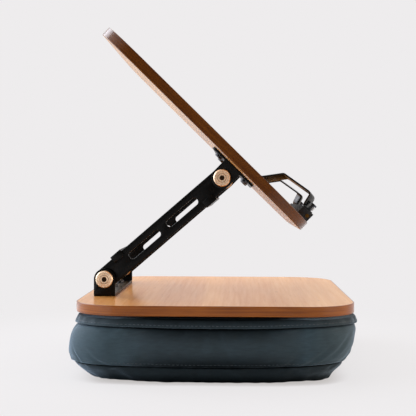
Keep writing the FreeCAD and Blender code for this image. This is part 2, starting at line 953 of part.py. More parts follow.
def main():
    os.makedirs("parts", exist_ok=True)

    save("base_board", [base_board()])
    save("base_edge_band", [edge_band(board_bottom)])
    save("hook_strips", fastening_strips(board_bottom - strip_thickness))
    save("loop_strips", fastening_strips(cushion_height))
    save("cushion_top_panel", [cover_panel(top_panel_sections)])
    save("cushion_side_panel", [cover_panel(side_panel_sections)])
    save("cushion_base_panel", [cover_panel(base_panel_sections)])
    save("cushion_filling", [cushion_filling()])

    save("lower_bracket", in_frame([lower_bracket()], base_frame))
    lower_seat = board_top + bracket_steel
    lower_screws = [pan_screw(place, lower_seat, 1) for place in lower_screw_places()]
    save("lower_bracket_screws", lower_screws)
    save("lower_hinge_bolts", in_frame([hinge_bolt(side, 0.0) for side in sides], base_frame))
    save("lower_sleeve_nuts", in_frame([sleeve_nut(side) for side in sides], base_frame))
    save("lower_friction_washers", in_frame([friction_washer(side) for side in sides], base_frame))

    save("near_arm_bar", in_frame([arm_bar(near_side)], arm_frame))
    save("far_arm_bar", in_frame([arm_bar(far_side)], arm_frame))
    save("lower_cross_brace", in_frame([cross_brace(brace_offset, 1)], arm_frame))
    save("upper_cross_brace", in_frame([cross_brace(arm_length - brace_offset, -1)], arm_frame))

    upper_bolts = [hinge_bolt(side, turning_gap) for side in sides]
    save("upper_hinge_bolts", in_frame(upper_bolts, plate_frame))
    save("upper_sleeve_nuts", in_frame([sleeve_nut(side) for side in sides], plate_frame))
    save("upper_friction_washers", in_frame([friction_washer(side) for side in sides], plate_frame))

    save("upper_bracket", in_frame([upper_bracket()], plate_frame))
    upper_seat = plate_under - bracket_steel
    upper_screws = [pan_screw(place, upper_seat, -1) for place in upper_screw_places()]
    save("upper_bracket_screws", in_frame(upper_screws, plate_frame))
    save("book_plate", in_frame([book_plate()], plate_frame))
    save("plate_edge_band", in_frame([plate_edge_band()], plate_frame))
    save("book_ledge", in_frame([book_ledge()], plate_frame))
    save("ledge_end_caps", in_frame([ledge_end_cap(side) for side in sides], plate_frame))
    save("ledge_end_screws", in_frame([ledge_end_screw(side) for side in sides], plate_frame))
    ledge_screws = [ledge_screw(place) for place in ledge_screw_places()]
    save("ledge_screws", in_frame(ledge_screws, plate_frame))

    clip = near_page_clip()
    save("near_page_clip", in_frame([clip], plate_frame))
    save("far_page_clip", in_frame([mirrored(clip)], plate_frame))
    save("clip_posts", in_frame([clip_post(side) for side in sides], plate_frame))
    for name, side in (("near_clip_spring", near_side), ("far_clip_spring", far_side)):
        spring = clip_spring()
        spring.translate(Vector(post_forward, side * post_offset(), tab_top + spring_seat_gap))
        save(name, in_frame([spring], plate_frame))
    print_spring_gap()


main()
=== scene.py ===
import json
import math

import bmesh
import bpy
import numpy as np
from bpy.props import FloatProperty, FloatVectorProperty, IntProperty, PointerProperty
from mathutils import Matrix, Vector
from mathutils.bvhtree import BVHTree

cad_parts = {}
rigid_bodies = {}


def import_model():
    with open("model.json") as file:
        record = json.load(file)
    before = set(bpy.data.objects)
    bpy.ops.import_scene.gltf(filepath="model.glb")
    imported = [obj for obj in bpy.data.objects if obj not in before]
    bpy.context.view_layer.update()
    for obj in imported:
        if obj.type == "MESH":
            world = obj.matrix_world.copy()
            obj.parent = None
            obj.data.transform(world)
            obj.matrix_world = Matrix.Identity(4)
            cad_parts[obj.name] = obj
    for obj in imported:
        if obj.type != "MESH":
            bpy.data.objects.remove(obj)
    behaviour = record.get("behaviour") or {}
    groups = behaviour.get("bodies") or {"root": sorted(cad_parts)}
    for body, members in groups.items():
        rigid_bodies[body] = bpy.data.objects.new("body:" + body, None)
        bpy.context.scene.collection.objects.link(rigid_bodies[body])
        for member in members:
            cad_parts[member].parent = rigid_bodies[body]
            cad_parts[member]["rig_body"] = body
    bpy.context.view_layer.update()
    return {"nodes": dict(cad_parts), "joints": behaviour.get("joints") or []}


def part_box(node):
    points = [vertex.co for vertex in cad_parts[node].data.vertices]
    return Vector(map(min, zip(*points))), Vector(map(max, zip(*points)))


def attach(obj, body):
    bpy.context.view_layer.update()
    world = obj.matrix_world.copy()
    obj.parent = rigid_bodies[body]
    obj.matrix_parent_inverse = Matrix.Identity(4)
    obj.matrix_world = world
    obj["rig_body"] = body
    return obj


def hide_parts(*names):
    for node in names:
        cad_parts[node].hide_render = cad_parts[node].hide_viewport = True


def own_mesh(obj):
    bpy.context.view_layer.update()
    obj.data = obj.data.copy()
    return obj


bl_info = {
    "name": "Book Rest Cushion",
    "version": (1, 0, 0),
    "blender": (4, 5, 0),
    "location": "3D View > Sidebar > Book Rest",
    "description": "Dresses a lap stand for reading and sets it in a pale studio",
    "category": "Object",
}

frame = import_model()

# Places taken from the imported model

MM = 0.001
joints = {joint["name"]: joint for joint in frame["joints"]}
lower_pivot = Vector(joints["arm_fold"]["pos_m"])
upper_pivot = Vector(joints["plate_fold"]["pos_m"])
plate_normal = Vector(joints["near_clip_swing"]["axis"])
plate_tilt = math.atan2(plate_normal.x, plate_normal.z)
board_lo, board_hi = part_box("base_edge_band")
side_lo, side_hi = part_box("cushion_side_panel")
cushion_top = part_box("cushion_top_panel")[1].z

# Rows of the cover from the floor up, for each panel: share of the panel's height, share of the
# floor inset that the row keeps, distance outside the board and lean to the back in millimetres,
# and 1 where the sewing holds the row.
BASE_PANEL_ROWS = (
    (0.0, 1.0, 0.0, 3.0, 1), (0.03, 0.88, -0.5, 3.6, 0), (0.12, 0.79, -0.8, 4.6, 0),
    (0.26, 0.67, -1.3, 5.5, 0), (0.41, 0.51, -1.9, 6.2, 0), (0.56, 0.33, -2.6, 6.4, 0),
    (0.71, 0.17, -3.2, 6.3, 0), (0.84, 0.07, -3.7, 6.3, 0), (0.92, 0.0, -4.6, 6.4, 0),
    (0.975, 0.0, -6.2, 6.4, 1), (1.01, 0.0, -5.8, 6.4, 1),
)
SIDE_PANEL_ROWS = (
    (0.004, 0, -3.9, 6.4, 1), (0.0, 0, -2.6, 6.4, 1), (0.035, 0, -1.9, 6.3, 0),
    (0.09, 0, -1.2, 6.0, 0), (0.15, 0, -0.1, 5.2, 0), (0.235, 0, 1.2, 5.0, 0),
    (0.325, 0, 2.1, 4.5, 0), (0.41, 0, 2.75, 4.0, 0), (0.5, 0, 3.1, 3.6, 0),
    (0.59, 0, 3.2, 3.2, 0), (0.68, 0, 3.1, 2.7, 0), (0.765, 0, 2.7, 2.0, 0),
    (0.85, 0, 2.1, 1.2, 0), (0.915, 0, 1.3, 0.3, 0), (0.958, 0, 0.1, -0.3, 0),
    (0.985, 0, -1.4, -0.5, 1), (1.005, 0, -2.6, -0.6, 1),
)
TOP_BAND_ROWS = (
    (0.06, 0, -0.8, -0.6, 1), (0.025, 0, 0.9, -0.6, 1), (0.005, 0, 1.6, -0.6, 1),
    (0.05, 0, 2.0, -0.6, 1), (0.2, 0, 1.7, -0.7, 0), (0.445, 0, 1.1, -0.9, 0),
    (0.68, 0, 0.55, -1.2, 0), (0.87, 0, -0.1, -1.3, 0), (0.965, 0, -1.2, -1.3, 1),
    (1.0, 0, -3.0, -1.3, 1),
)
# Creases: place round the cushion, height above the middle of the side as a share of it, slant
# from upright in degrees, reach and width in millimetres, strength.
CREASES = (
    (0.925, -0.22, 62, 17, 2.6, 1.0), (0.945, -0.08, 55, 15, 2.2, 0.8),
    (0.965, 0.08, 48, 13, 2.4, 0.6), (0.985, -0.2, 60, 13, 2.0, 0.6),
    (0.735, -0.33, -35, 8, 1.8, 0.8), (0.715, -0.38, -25, 7, 1.6, 0.7),
    (0.755, -0.3, -50, 12, 2.2, 0.6), (0.7, 0.1, -60, 14, 2.8, 0.4),
    (0.49, -0.2, 58, 15, 2.4, 0.8), (0.465, 0.0, 50, 13, 2.2, 0.6),
    (0.445, -0.3, 40, 9, 1.8, 0.7), (0.215, -0.22, -55, 14, 2.4, 0.8),
    (0.235, 0.05, -48, 13, 2.2, 0.6), (0.26, -0.3, -38, 9, 1.8, 0.6),
    (0.8, -0.42, 8, 6, 1.6, 0.35), (0.86, 0.4, -12, 6, 1.7, 0.35),
    (0.83, 0.42, 10, 6, 1.6, 0.3), (0.33, -0.4, -8, 6, 1.6, 0.35),
    (0.6, -0.38, 15, 8, 1.9, 0.5), (0.1, -0.38, -14, 8, 1.9, 0.5),
)


# Colours and small helpers


def linear(hex_colour):
    """An sRGB hex colour as the linear colour that Blender's sockets take."""
    channels = [int(hex_colour[i : i + 2], 16) / 255 for i in (1, 3, 5)]
    values = [c / 12.92 if c <= 0.04045 else ((c + 0.055) / 1.055) ** 2.4 for c in channels]
    return (*values, 1.0)


def toned(colour, tone):
    """A linear colour made darker or lighter by a share."""
    return (*(channel * tone for channel in colour[:3]), 1.0)


def add_node(tree, kind, settings=None, inputs=None, stops=()):
    """One node: its properties, its inputs as values or as the sockets that feed them, and a colour
    ramp's stops as (place, hex colour)."""
    made = tree.nodes.new(kind)
    for name, value in (settings or {}).items():
        setattr(made, name, value)
    for name, value in (inputs or {}).items():
        if isinstance(value, bpy.types.NodeSocket):
            tree.links.new(value, made.inputs[name])
        else:
            made.inputs[name].default_value = value
    if stops:
        points = made.color_ramp.elements
        while len(points) < len(stops):
            points.new(0.5)
        for point, (place, colour) in zip(points, stops):
            point.position = place
            point.color = linear(colour)
    return made


def new_material(name):
    """An empty material with its surface shader, ready for the pattern nodes."""
    material = bpy.data.materials.new(name)
    material.use_nodes = True
    tree = material.node_tree
    tree.nodes.clear()
    surface = add_node(tree, "ShaderNodeBsdfPrincipled")
    add_node(tree, "ShaderNodeOutputMaterial", inputs={"Surface": surface.outputs["BSDF"]})
    return material, tree, surface


def object_coordinates(tree, turn=(0, 0, 0), scale=(1, 1, 1), origin=(0, 0, 0)):
    """Object coordinates, moved to an origin, turned and then stretched for a pattern."""
    place = add_node(tree, "ShaderNodeTexCoord").outputs["Object"]
    moved = add_node(
        tree, "ShaderNodeVectorMath", {"operation": "SUBTRACT"}, {0: place, 1: tuple(origin)},
    )
    turned = add_node(
        tree, "ShaderNodeMapping", inputs={"Vector": moved.outputs[0], "Rotation": turn},
    )
    stretched = add_node(
        tree, "ShaderNodeMapping", inputs={"Vector": turned.outputs[0], "Scale": scale},
    )
    return stretched.outputs[0]


def set_surface(surface, **values):
    """Values straight on the shader's own sockets, written with underscores for spaces."""
    for name, value in values.items():
        socket = surface.inputs[name.replace("_", " ")]
        if isinstance(value, bpy.types.NodeSocket):
            surface.id_data.links.new(value, socket)
        else:
            socket.default_value = value


# Sizes and colours that can be changed


class CushionSettings(bpy.types.PropertyGroup):
    """The stuffed cushion, in the sizes that show."""

    corner_radius: FloatProperty(
        name="Corner radius", description="Radius of the cushion's corners seen from above",
        default=45 * MM, unit="LENGTH",
    )
    floor_inset: FloatProperty(
        name="Floor inset", description="How far the part on the floor stays inside the corners",
        default=19.5 * MM, unit="LENGTH",
    )
    side_swell: FloatProperty(
        name="Side swell", description="How much further the middle of each side stands out",
        default=1.5 * MM, unit="LENGTH",
    )
    corner_lift: FloatProperty(
        name="Corner lift", description="How far the two seams rise towards the corners",
        default=2.1 * MM, unit="LENGTH",
    )
    pressure: FloatProperty(
        name="Filling pressure", description="Pressure of the filling on the cover", default=4.0,
    )
    slack: FloatProperty(
        name="Cloth slack", description="Share by which the cover is cut larger than the filling",
        default=0.02, subtype="FACTOR",
    )
    fold_limit: FloatProperty(
        name="Fold limit", description="The deepest fold that the filling may push into the cover",
        default=1.5 * MM, unit="LENGTH",
    )
    pucker: FloatProperty(
        name="Pucker depth", description="Depth of the small gathers along the seams",
        default=0.3 * MM, unit="LENGTH",
    )
    crease: FloatProperty(
        name="Crease depth", description="Depth of the slanting creases at the corners",
        default=1.0 * MM, unit="LENGTH",
    )
    thread_spacing: FloatProperty(
        name="Thread spacing", description="Spacing of the woven threads as drawn",
        default=0.8 * MM, unit="LENGTH",
    )
    colour: FloatVectorProperty(
        name="Cloth colour", description="Slate blue of the cover", subtype="COLOR", size=4,
        min=0.0, max=1.0, default=linear("#2E3D43"),
    )


class StitchSettings(bpy.types.PropertyGroup):
    """The two rows of topstitching on the cushion."""

    pitch: FloatProperty(
        name="Stitch pitch", description="Distance from one stitch to the next",
        default=3.6 * MM, unit="LENGTH",
    )
    length: FloatProperty(
        name="Stitch length", description="Length of thread that shows in each stitch",
        default=2.6 * MM, unit="LENGTH",
    )
    thickness: FloatProperty(
        name="Thread thickness", description="Thickness of the sewing thread",
        default=0.4 * MM, unit="LENGTH",
    )
    from_seam: FloatProperty(
        name="Distance from seam", description="Distance of a row of stitches from its seam",
        default=2.4 * MM, unit="LENGTH",
    )
    samples: IntProperty(
        name="Row points", description="Points that carry each row round the cushion", default=320,
    )


class BoardSettings(bpy.types.PropertyGroup):
    """The veneer of the two boards."""

    light: FloatVectorProperty(
        name="Light grain", description="Lightest colour of the veneer", subtype="COLOR", size=4,
        min=0.0, max=1.0, default=linear("#E0A35A"),
    )
    dark: FloatVectorProperty(
        name="Dark grain", description="Darkest colour of the veneer", subtype="COLOR", size=4,
        min=0.0, max=1.0, default=linear("#B36E2C"),
    )
    band: FloatVectorProperty(
        name="Edge band", description="Colour of the band round the edge", subtype="COLOR", size=4,
        min=0.0, max=1.0, default=linear("#8C470A"),
    )


class SteelSettings(bpy.types.PropertyGroup):
    """The folded steel pieces."""

    edge_round: FloatProperty(
        name="Edge rounding", description="Rounding of the sheared edges under the coating",
        default=0.3 * MM, unit="LENGTH",
    )
    clip_round: FloatProperty(
        name="Clip edge rounding", description="Rounding of the edges of the page clips",
        default=0.25 * MM, unit="LENGTH",
    )
    colour: FloatVectorProperty(
        name="Coating colour", description="Black of the powder coating", subtype="COLOR", size=4,
        min=0.0, max=1.0, default=linear("#060605"),
    )
    copper: FloatVectorProperty(
        name="Bolt colour", description="Copper plating of the hinge bolts", subtype="COLOR",
        size=4, min=0.0, max=1.0, default=linear("#FFE4C4"),
    )
    spring_keep: FloatProperty(
        name="Squeezed spring",
        description="Share of its height that a clip's spring keeps while the clip is lifted",
        default=0.9, subtype="FACTOR",
    )


class StudioSettings(bpy.types.PropertyGroup):
    """Camera, backdrop and lamps."""

    lens: FloatProperty(
        name="Lens", description="Focal length of the camera in millimetres", default=84.1,
        unit="CAMERA",
    )
    backdrop: FloatVectorProperty(
        name="Backdrop", description="Pale backdrop and floor as the camera sees them",
        subtype="COLOR", size=4, min=0.0, max=1.0, default=linear("#EEECED"),
    )
    window_power: FloatProperty(
        name="Window power", description="Power of the large soft lamp at the left in watts",
        default=27.0, unit="POWER",
    )
    top_power: FloatProperty(
        name="Overhead power", description="Power of the soft lamp above and behind in watts",
        default=6.5, unit="POWER",
    )
    right_power: FloatProperty(
        name="Right power", description="Power of the lamp that fills in the right side in watts",
        default=7.5, unit="POWER",
    )
    front_power: FloatProperty(
        name="Front power",
        description="Power of the low lamp at the front left in watts; the right one has 10 % less",
        default=1.25, unit="POWER",
    )
    back_power: FloatProperty(
        name="Back power", description="Power of the lamp behind at the left in watts",
        default=4.2, unit="POWER",
    )
    room_light: FloatProperty(
        name="Room light", description="Strength of the room's own light, mostly from behind",
        default=0.85,
    )
    front_share: FloatProperty(
        name="Front share", description="How bright the room is on the camera's side",
        default=0.12, subtype="FACTOR",
    )
    shadow_reach: FloatProperty(
        name="Shadow reach", description="How far the soft shadow spreads on the floor",
        default=15 * MM, unit="LENGTH",
    )


# Materials

# A Mix node takes its two colours at sockets 6 and 7, and gives the mixed one at output 2.
BLENDED = {"data_type": "RGBA"}
MULTIPLIED = {"data_type": "RGBA", "blend_type": "MULTIPLY"}


def veneer_material(name, turn, tone, coat):
    """Walnut veneer under satin lacquer: straight fine grain, short dark pores and broad bands."""
    boards = bpy.context.scene.book_rest_boards
    material, tree, surface = new_material(name)
    # The grain runs along Y. Bands are about 45 mm wide, streaks 3 mm and pores 0.8 mm, and all are
    # 20 to 33 times as long as they are wide. Pores are drawn coarser than real, so that they show.
    bands = add_node(
        tree, "ShaderNodeTexNoise",
        inputs={"Vector": object_coordinates(tree, turn, (1, 0.05, 1)), "Scale": 22,
                "Detail": 3, "Roughness": 0.6, "Distortion": 0.35},
    )
    streaks = add_node(
        tree, "ShaderNodeTexNoise",
        inputs={"Vector": object_coordinates(tree, turn, (1, 0.03, 1)), "Scale": 330,
                "Detail": 4, "Roughness": 0.65},
    ).outputs["Fac"]
    pores = add_node(
        tree, "ShaderNodeTexNoise",
        inputs={"Vector": object_coordinates(tree, turn, (1, 0.045, 1)), "Scale": 1250},
    )
    pore_mask = add_node(
        tree, "ShaderNodeMapRange",
        inputs={"Value": pores.outputs["Fac"], "From Min": 0.64, "From Max": 0.74, "To Max": 0.7},
    ).outputs["Result"]
    figure = add_node(
        tree, "ShaderNodeMath", {"operation": "MULTIPLY_ADD"}, {0: streaks, 1: 0.28, 2: 0.06},
    )
    blend = add_node(
        tree, "ShaderNodeMath", {"operation": "MULTIPLY_ADD", "use_clamp": True},
        {0: bands.outputs["Fac"], 1: 0.65, 2: figure.outputs[0]},
    )
    spread = add_node(
        tree, "ShaderNodeMapRange",
        inputs={"Value": blend.outputs[0], "From Min": 0.34, "From Max": 0.80},
    )
    # The tone darkens the whole veneer; for the book plate it is painted shade.
    grain = add_node(
        tree, "ShaderNodeMix", BLENDED,
        {0: spread.outputs["Result"], 6: toned(boards.light, tone), 7: toned(boards.dark, tone)},
    )
    darkened = add_node(
        tree, "ShaderNodeMix", MULTIPLIED,
        {0: pore_mask, 6: grain.outputs[2], 7: linear("#D6C6B8")},
    )
    relief = add_node(
        tree, "ShaderNodeBump",
        inputs={"Height": pore_mask, "Distance": -0.05 * MM, "Strength": 0.25},
    )
    rough = add_node(
        tree, "ShaderNodeMapRange",
        inputs={"Value": streaks, "From Min": 0.3, "From Max": 0.7, "To Min": 0.38, "To Max": 0.48},
    )
    set_surface(
        surface, Base_Color=darkened.outputs[2], Roughness=rough.outputs["Result"],
        Normal=relief.outputs["Normal"], IOR=1.3,
        Coat_Weight=coat, Coat_Roughness=0.14, Coat_IOR=1.45,
    )
    return material


def edge_band_material(name, turn, tone):
    """Wood edge band, sliced along the grain: long level streaks under glossier satin lacquer."""
    boards = bpy.context.scene.book_rest_boards
    material, tree, surface = new_material(name)
    # Streaks follow the edge: through the board's thickness they change in about a millimetre, and
    # the slower bands under them in 17 mm.
    streaks = add_node(
        tree, "ShaderNodeTexNoise",
        inputs={"Vector": object_coordinates(tree, turn, (0.02, 0.02, 1)), "Scale": 900,
                "Detail": 4, "Roughness": 0.6, "Distortion": 0.2},
    ).outputs["Fac"]
    slow = add_node(
        tree, "ShaderNodeTexNoise",
        inputs={"Vector": object_coordinates(tree, turn, (0.35, 0.35, 1)), "Scale": 60,
                "Roughness": 0.55},
    )
    fine = add_node(tree, "ShaderNodeMath", {"operation": "MULTIPLY"}, {0: streaks, 1: 0.7})
    mixed = add_node(
        tree, "ShaderNodeMath", {"operation": "MULTIPLY_ADD"},
        {0: slow.outputs["Fac"], 1: 0.35, 2: fine.outputs[0]},
    )
    grain = add_node(
        tree, "ShaderNodeValToRGB", inputs={"Fac": mixed.outputs[0]},
        stops=((0.34, "#582A06"), (0.52, "#8E4B0C"), (0.68, "#AC641A")),
    )
    tinted = add_node(
        tree, "ShaderNodeMix", BLENDED,
        {0: 0.35, 6: grain.outputs["Color"], 7: tuple(boards.band)},
    )
    # The tone darkens the whole band; for the book plate it is painted shade.
    finished = add_node(
        tree, "ShaderNodeMix", MULTIPLIED,
        {0: 1.0, 6: tinted.outputs[2], 7: toned((1, 1, 1), tone)},
    )
    relief = add_node(
        tree, "ShaderNodeBump",
        inputs={"Height": streaks, "Distance": 0.04 * MM, "Strength": 0.2},
    )
    set_surface(
        surface, Base_Color=finished.outputs[2], Roughness=0.3, Normal=relief.outputs["Normal"],
        IOR=1.25, Coat_Weight=0.45, Coat_Roughness=0.12, Coat_IOR=1.4,
    )
    return material


def coated_metal_material(name, roughness, colour, gleam):
    """Metal under a thin black coating: even and satin, with a fine orange peel."""
    material, tree, surface = new_material(name)
    place = object_coordinates(tree)
    # The orange peel is about 0.8 mm from crest to crest, and the sheen varies over about 22 mm.
    peel = add_node(tree, "ShaderNodeTexNoise", inputs={"Vector": place, "Scale": 1250})
    cloud = add_node(
        tree, "ShaderNodeTexNoise",
        inputs={"Vector": place, "Scale": 45, "Detail": 3, "Roughness": 0.55},
    ).outputs["Fac"]
    rough = add_node(
        tree, "ShaderNodeMapRange",
        inputs={"Value": cloud, "From Min": 0.3, "From Max": 0.7,
                "To Min": roughness - 0.05, "To Max": roughness + 0.05},
    )
    tone = add_node(
        tree, "ShaderNodeMix", BLENDED, {0: cloud, 6: tuple(colour), 7: linear("#0E0E0D")},
    )
    relief = add_node(
        tree, "ShaderNodeBump",
        inputs={"Height": peel.outputs["Fac"], "Distance": 0.03 * MM, "Strength": 0.35},
    )
    set_surface(
        surface, Base_Color=tone.outputs[2], Roughness=rough.outputs["Result"],
        Normal=relief.outputs["Normal"], IOR=1.5, Specular_IOR_Level=gleam,
    )
    return material


def turned_metal_material(name, centre, plating):
    """Copper plate on turned steel: bright satin metal, fine rings round its axis, a socket painted
    dark as shade.
    """
    material, tree, surface = new_material(name)
    flat = object_coordinates(tree, (0, 0, 0), (1, 0, 1), centre)
    radius = add_node(
        tree, "ShaderNodeVectorMath", {"operation": "LENGTH"}, {0: flat},
    ).outputs["Value"]
    # The ramp runs from the axis to the rim of the 16 mm head, with the socket's edge at 0.32. Its
    # white rings at the socket's edge and near the rim are painted highlights.
    head_radius = 8 * MM
    share = add_node(
        tree, "ShaderNodeMath", {"operation": "MULTIPLY"}, {0: radius, 1: 1 / head_radius},
    )
    bands = add_node(
        tree, "ShaderNodeValToRGB", inputs={"Fac": share.outputs[0]},
        stops=((0.0, "#2A2420"), (0.27, "#3A332D"), (0.33, "#FFFFFF"), (0.45, "#D8D2CC"),
               (0.52, "#A79C92"), (0.58, "#F4F0EC"), (0.76, "#E0DBD5"), (0.84, "#FFFFFF"),
               (1.0, "#E8E4DF")),
    )
    # Turning marks are drawn 0.45 mm apart, coarser than the real 0.1 mm, so that they show.
    mark_spacing = 0.45 * MM
    ringed = add_node(
        tree, "ShaderNodeMath", {"operation": "MULTIPLY"},
        {0: radius, 1: 2 * math.pi / mark_spacing},
    )
    wave = add_node(tree, "ShaderNodeMath", {"operation": "SINE"}, {0: ringed.outputs[0]})
    # Broader rings are about 1.1 mm wide.
    broad = add_node(
        tree, "ShaderNodeTexNoise", {"noise_dimensions": "1D"},
        {"W": radius, "Scale": 900, "Detail": 2},
    )
    tone = add_node(
        tree, "ShaderNodeMix", MULTIPLIED, {0: 1.0, 6: tuple(plating), 7: bands.outputs["Color"]},
    )
    marks = add_node(
        tree, "ShaderNodeBump",
        inputs={"Height": wave.outputs[0], "Distance": 0.02 * MM, "Strength": 0.5},
    )
    relief = add_node(
        tree, "ShaderNodeBump",
        inputs={"Height": broad.outputs["Fac"], "Distance": 0.12 * MM, "Strength": 0.5,
                "Normal": marks.outputs["Normal"]},
    )
    set_surface(
        surface, Base_Color=tone.outputs[2], Metallic=1.0, Roughness=0.4,
        Normal=relief.outputs["Normal"],
    )
    return material


def plain_metal_material(name, colour, roughness):
    """Plated or oiled metal: a satin shine, faintly uneven like the drawn wire or rod under it."""
    material, tree, surface = new_material(name)
    # The unevenness is drawn 1.1 mm wide, coarser than on a real screw, so that it shows.
    grit = add_node(
        tree, "ShaderNodeTexNoise",
        inputs={"Vector": object_coordinates(tree), "Scale": 900, "Detail": 3, "Roughness": 0.55},
    ).outputs["Fac"]
    spots = add_node(
        tree, "ShaderNodeValToRGB", inputs={"Fac": grit},
        stops=((0.3, "#B8B8B8"), (0.7, "#FFFFFF")),
    )
    tone = add_node(
        tree, "ShaderNodeMix", MULTIPLIED, {0: 0.25, 6: linear(colour), 7: spots.outputs["Color"]},
    )
    relief = add_node(
        tree, "ShaderNodeBump", inputs={"Height": grit, "Distance": 0.02 * MM, "Strength": 0.3},
    )
    set_surface(
        surface, Base_Color=tone.outputs[2], Metallic=1.0, Roughness=roughness,
        Normal=relief.outputs["Normal"],
    )
    return material


def moulded_plastic_material(name, colour, roughness):
    """Moulded nylon or ABS: dull black, with the fine grain that a spark-eroded mould leaves."""
    material, tree, surface = new_material(name)
    # The grain is drawn 0.6 mm wide, coarser than the real one, so that it shows.
    grit = add_node(
        tree, "ShaderNodeTexNoise",
        inputs={"Vector": object_coordinates(tree), "Scale": 1600, "Roughness": 0.55},
    ).outputs["Fac"]
    tone = add_node(
        tree, "ShaderNodeValToRGB", inputs={"Fac": grit}, stops=((0.25, colour), (0.8, "#26262A")),
    )
    relief = add_node(
        tree, "ShaderNodeBump", inputs={"Height": grit, "Distance": 0.03 * MM, "Strength": 0.5},
    )
    set_surface(
        surface, Base_Color=tone.outputs["Color"], Roughness=roughness, IOR=1.46,
        Normal=relief.outputs["Normal"],
    )
    return material


def pile_tape_material(name, colour):
    """Nylon hook and loop tape: a dense dull pile of tiny loops."""
    material, tree, surface = new_material(name)
    # Loops stand about 1 mm apart, and the gaps between them are painted dark as shade.
    cells = add_node(
        tree, "ShaderNodeTexVoronoi", inputs={"Vector": object_coordinates(tree), "Scale": 1000},
    ).outputs["Distance"]
    tone = add_node(
        tree, "ShaderNodeValToRGB", inputs={"Fac": cells}, stops=((0.1, colour), (0.7, "#08080A")),
    )
    relief = add_node(
        tree, "ShaderNodeBump", inputs={"Height": cells, "Distance": -0.4 * MM, "Strength": 0.6},
    )
    set_surface(
        surface, Base_Color=tone.outputs["Color"], Roughness=0.9, Sheen_Weight=0.3,
        Normal=relief.outputs["Normal"],
    )
    return material


def woven_cloth_material(name):
    """Closely woven polyester twill: dull, with a soft pale sheen where it turns away."""
    cushion = bpy.context.scene.book_rest_cushion
    material, tree, surface = new_material(name)
    cloth = add_node(tree, "ShaderNodeUVMap", {"uv_map": "cloth"}).outputs["UV"]
    # The threads are about 0.3 mm apart and are drawn coarser, so that the weave shows close up.
    # A Wave node's bands repeat every pi / 10 of its coordinate.
    scale = math.pi / 10 / cushion.thread_spacing
    warp, weft = (
        add_node(
            tree, "ShaderNodeTexWave", {"bands_direction": direction},
            {"Vector": cloth, "Scale": scale, "Distortion": 1.2, "Detail": 1.0,
             "Detail Scale": 1.5},
        )
        for direction in ("X", "Y")
    )
    weave = add_node(
        tree, "ShaderNodeMath", {"operation": "MULTIPLY"},
        {0: warp.outputs["Fac"], 1: weft.outputs["Fac"]},
    ).outputs[0]
    # Mottled patches in the dye are about 40 mm wide.
    mottle = add_node(
        tree, "ShaderNodeTexNoise",
        inputs={"Vector": object_coordinates(tree), "Scale": 24, "Detail": 4, "Roughness": 0.6},
    ).outputs["Fac"]
    # Slubs are thicker bits of thread, about 7 mm long and 1.4 mm high.
    slub = add_node(
        tree, "ShaderNodeTexNoise",
        inputs={"Vector": object_coordinates(tree, (0, 0, 0), (0.2, 0.2, 1)), "Scale": 700,
                "Detail": 3, "Roughness": 0.55},
    ).outputs["Fac"]
    colour = tuple(cushion.colour)
    for pattern, strength, stops in (
        (mottle, 0.55, ((0.3, "#C9CDD0"), (0.7, "#FFFFFF"))),
        (slub, 0.45, ((0.3, "#B4B8BB"), (0.7, "#FFFFFF"))),
        (weave, 0.35, ((0.0, "#9AA0A4"), (0.8, "#FFFFFF"))),
    ):
        paler = add_node(tree, "ShaderNodeValToRGB", inputs={"Fac": pattern}, stops=stops)
        colour = add_node(
            tree, "ShaderNodeMix", MULTIPLIED, {0: strength, 6: colour, 7: paler.outputs["Color"]},
        ).outputs[2]
    # Painted light and shade: pale on the bulge and corners; dark, with less sheen, at seams, rim
    # and base.
    painted_shading = add_node(tree, "ShaderNodeAttribute", {"attribute_name": "painted_light_and_shade"}).outputs["Fac"]
    shaded = add_node(tree, "ShaderNodeMix", MULTIPLIED, {0: 1.0, 6: colour, 7: painted_shading})
    sheen = add_node(
        tree, "ShaderNodeMath", {"operation": "MULTIPLY", "use_clamp": True}, {0: painted_shading, 1: 1.15},
    ).outputs[0]
    gloss = add_node(tree, "ShaderNodeMath", {"operation": "MULTIPLY"}, {0: sheen, 1: 0.3})
    threads = add_node(
        tree, "ShaderNodeBump", inputs={"Height": weave, "Distance": 0.12 * MM, "Strength": 0.5},
    )
    relief = add_node(
        tree, "ShaderNodeBump",
        inputs={"Height": mottle, "Distance": 1.2 * MM, "Strength": 0.12,
                "Normal": threads.outputs["Normal"]},
    )
    set_surface(
        surface, Base_Color=shaded.outputs[2], Roughness=0.72, Normal=relief.outputs["Normal"],
        Specular_IOR_Level=gloss.outputs[0], Sheen_Weight=sheen, Sheen_Roughness=0.33,
        Sheen_Tint=linear("#B6CCE0"),
    )
    return material


def thread_material(name):
    """Polyester sewing thread, dyed to match the cover: it shows only as a faint broken line."""
    material, tree, surface = new_material(name)
    # A turn of the thread's twist is about 0.4 mm long.
    twist = add_node(
        tree, "ShaderNodeTexNoise",
        inputs={"Vector": object_coordinates(tree), "Scale": 2600, "Roughness": 0.55},
    )
    tone = add_node(
        tree, "ShaderNodeValToRGB", inputs={"Fac": twist.outputs["Fac"]},
        stops=((0.3, "#232C32"), (0.7, "#2F3A41")),
    )
    set_surface(surface, Base_Color=tone.outputs["Color"], Roughness=0.55, Sheen_Weight=0.2)
    return material


# Meshes


def add_object(name, data):
    """A new object in the scene, at the origin."""
    made = bpy.data.objects.new(name, data)
    bpy.context.scene.collection.objects.link(made)
    return made


def finished_mesh(name, form):
    """A new mesh from an edit mesh, which is done with."""
    mesh = bpy.data.meshes.new(name)
    form.to_mesh(mesh)
    form.free()
    return mesh


def read_points(mesh, attribute="co"):
    """Places or normals of a mesh's points, one row of X, Y and Z for each."""
    points = np.zeros(len(mesh.vertices) * 3)
    mesh.vertices.foreach_get(attribute, points)
    return points.reshape(-1, 3)


def write_points(mesh, points):
    """Moves a mesh's points to new places."""
    mesh.vertices.foreach_set("co", points.ravel())
    mesh.update()


def assign(piece, material):
    """Gives a piece one material in place of what it had."""
    piece.data.materials.clear()
    piece.data.materials.append(material)


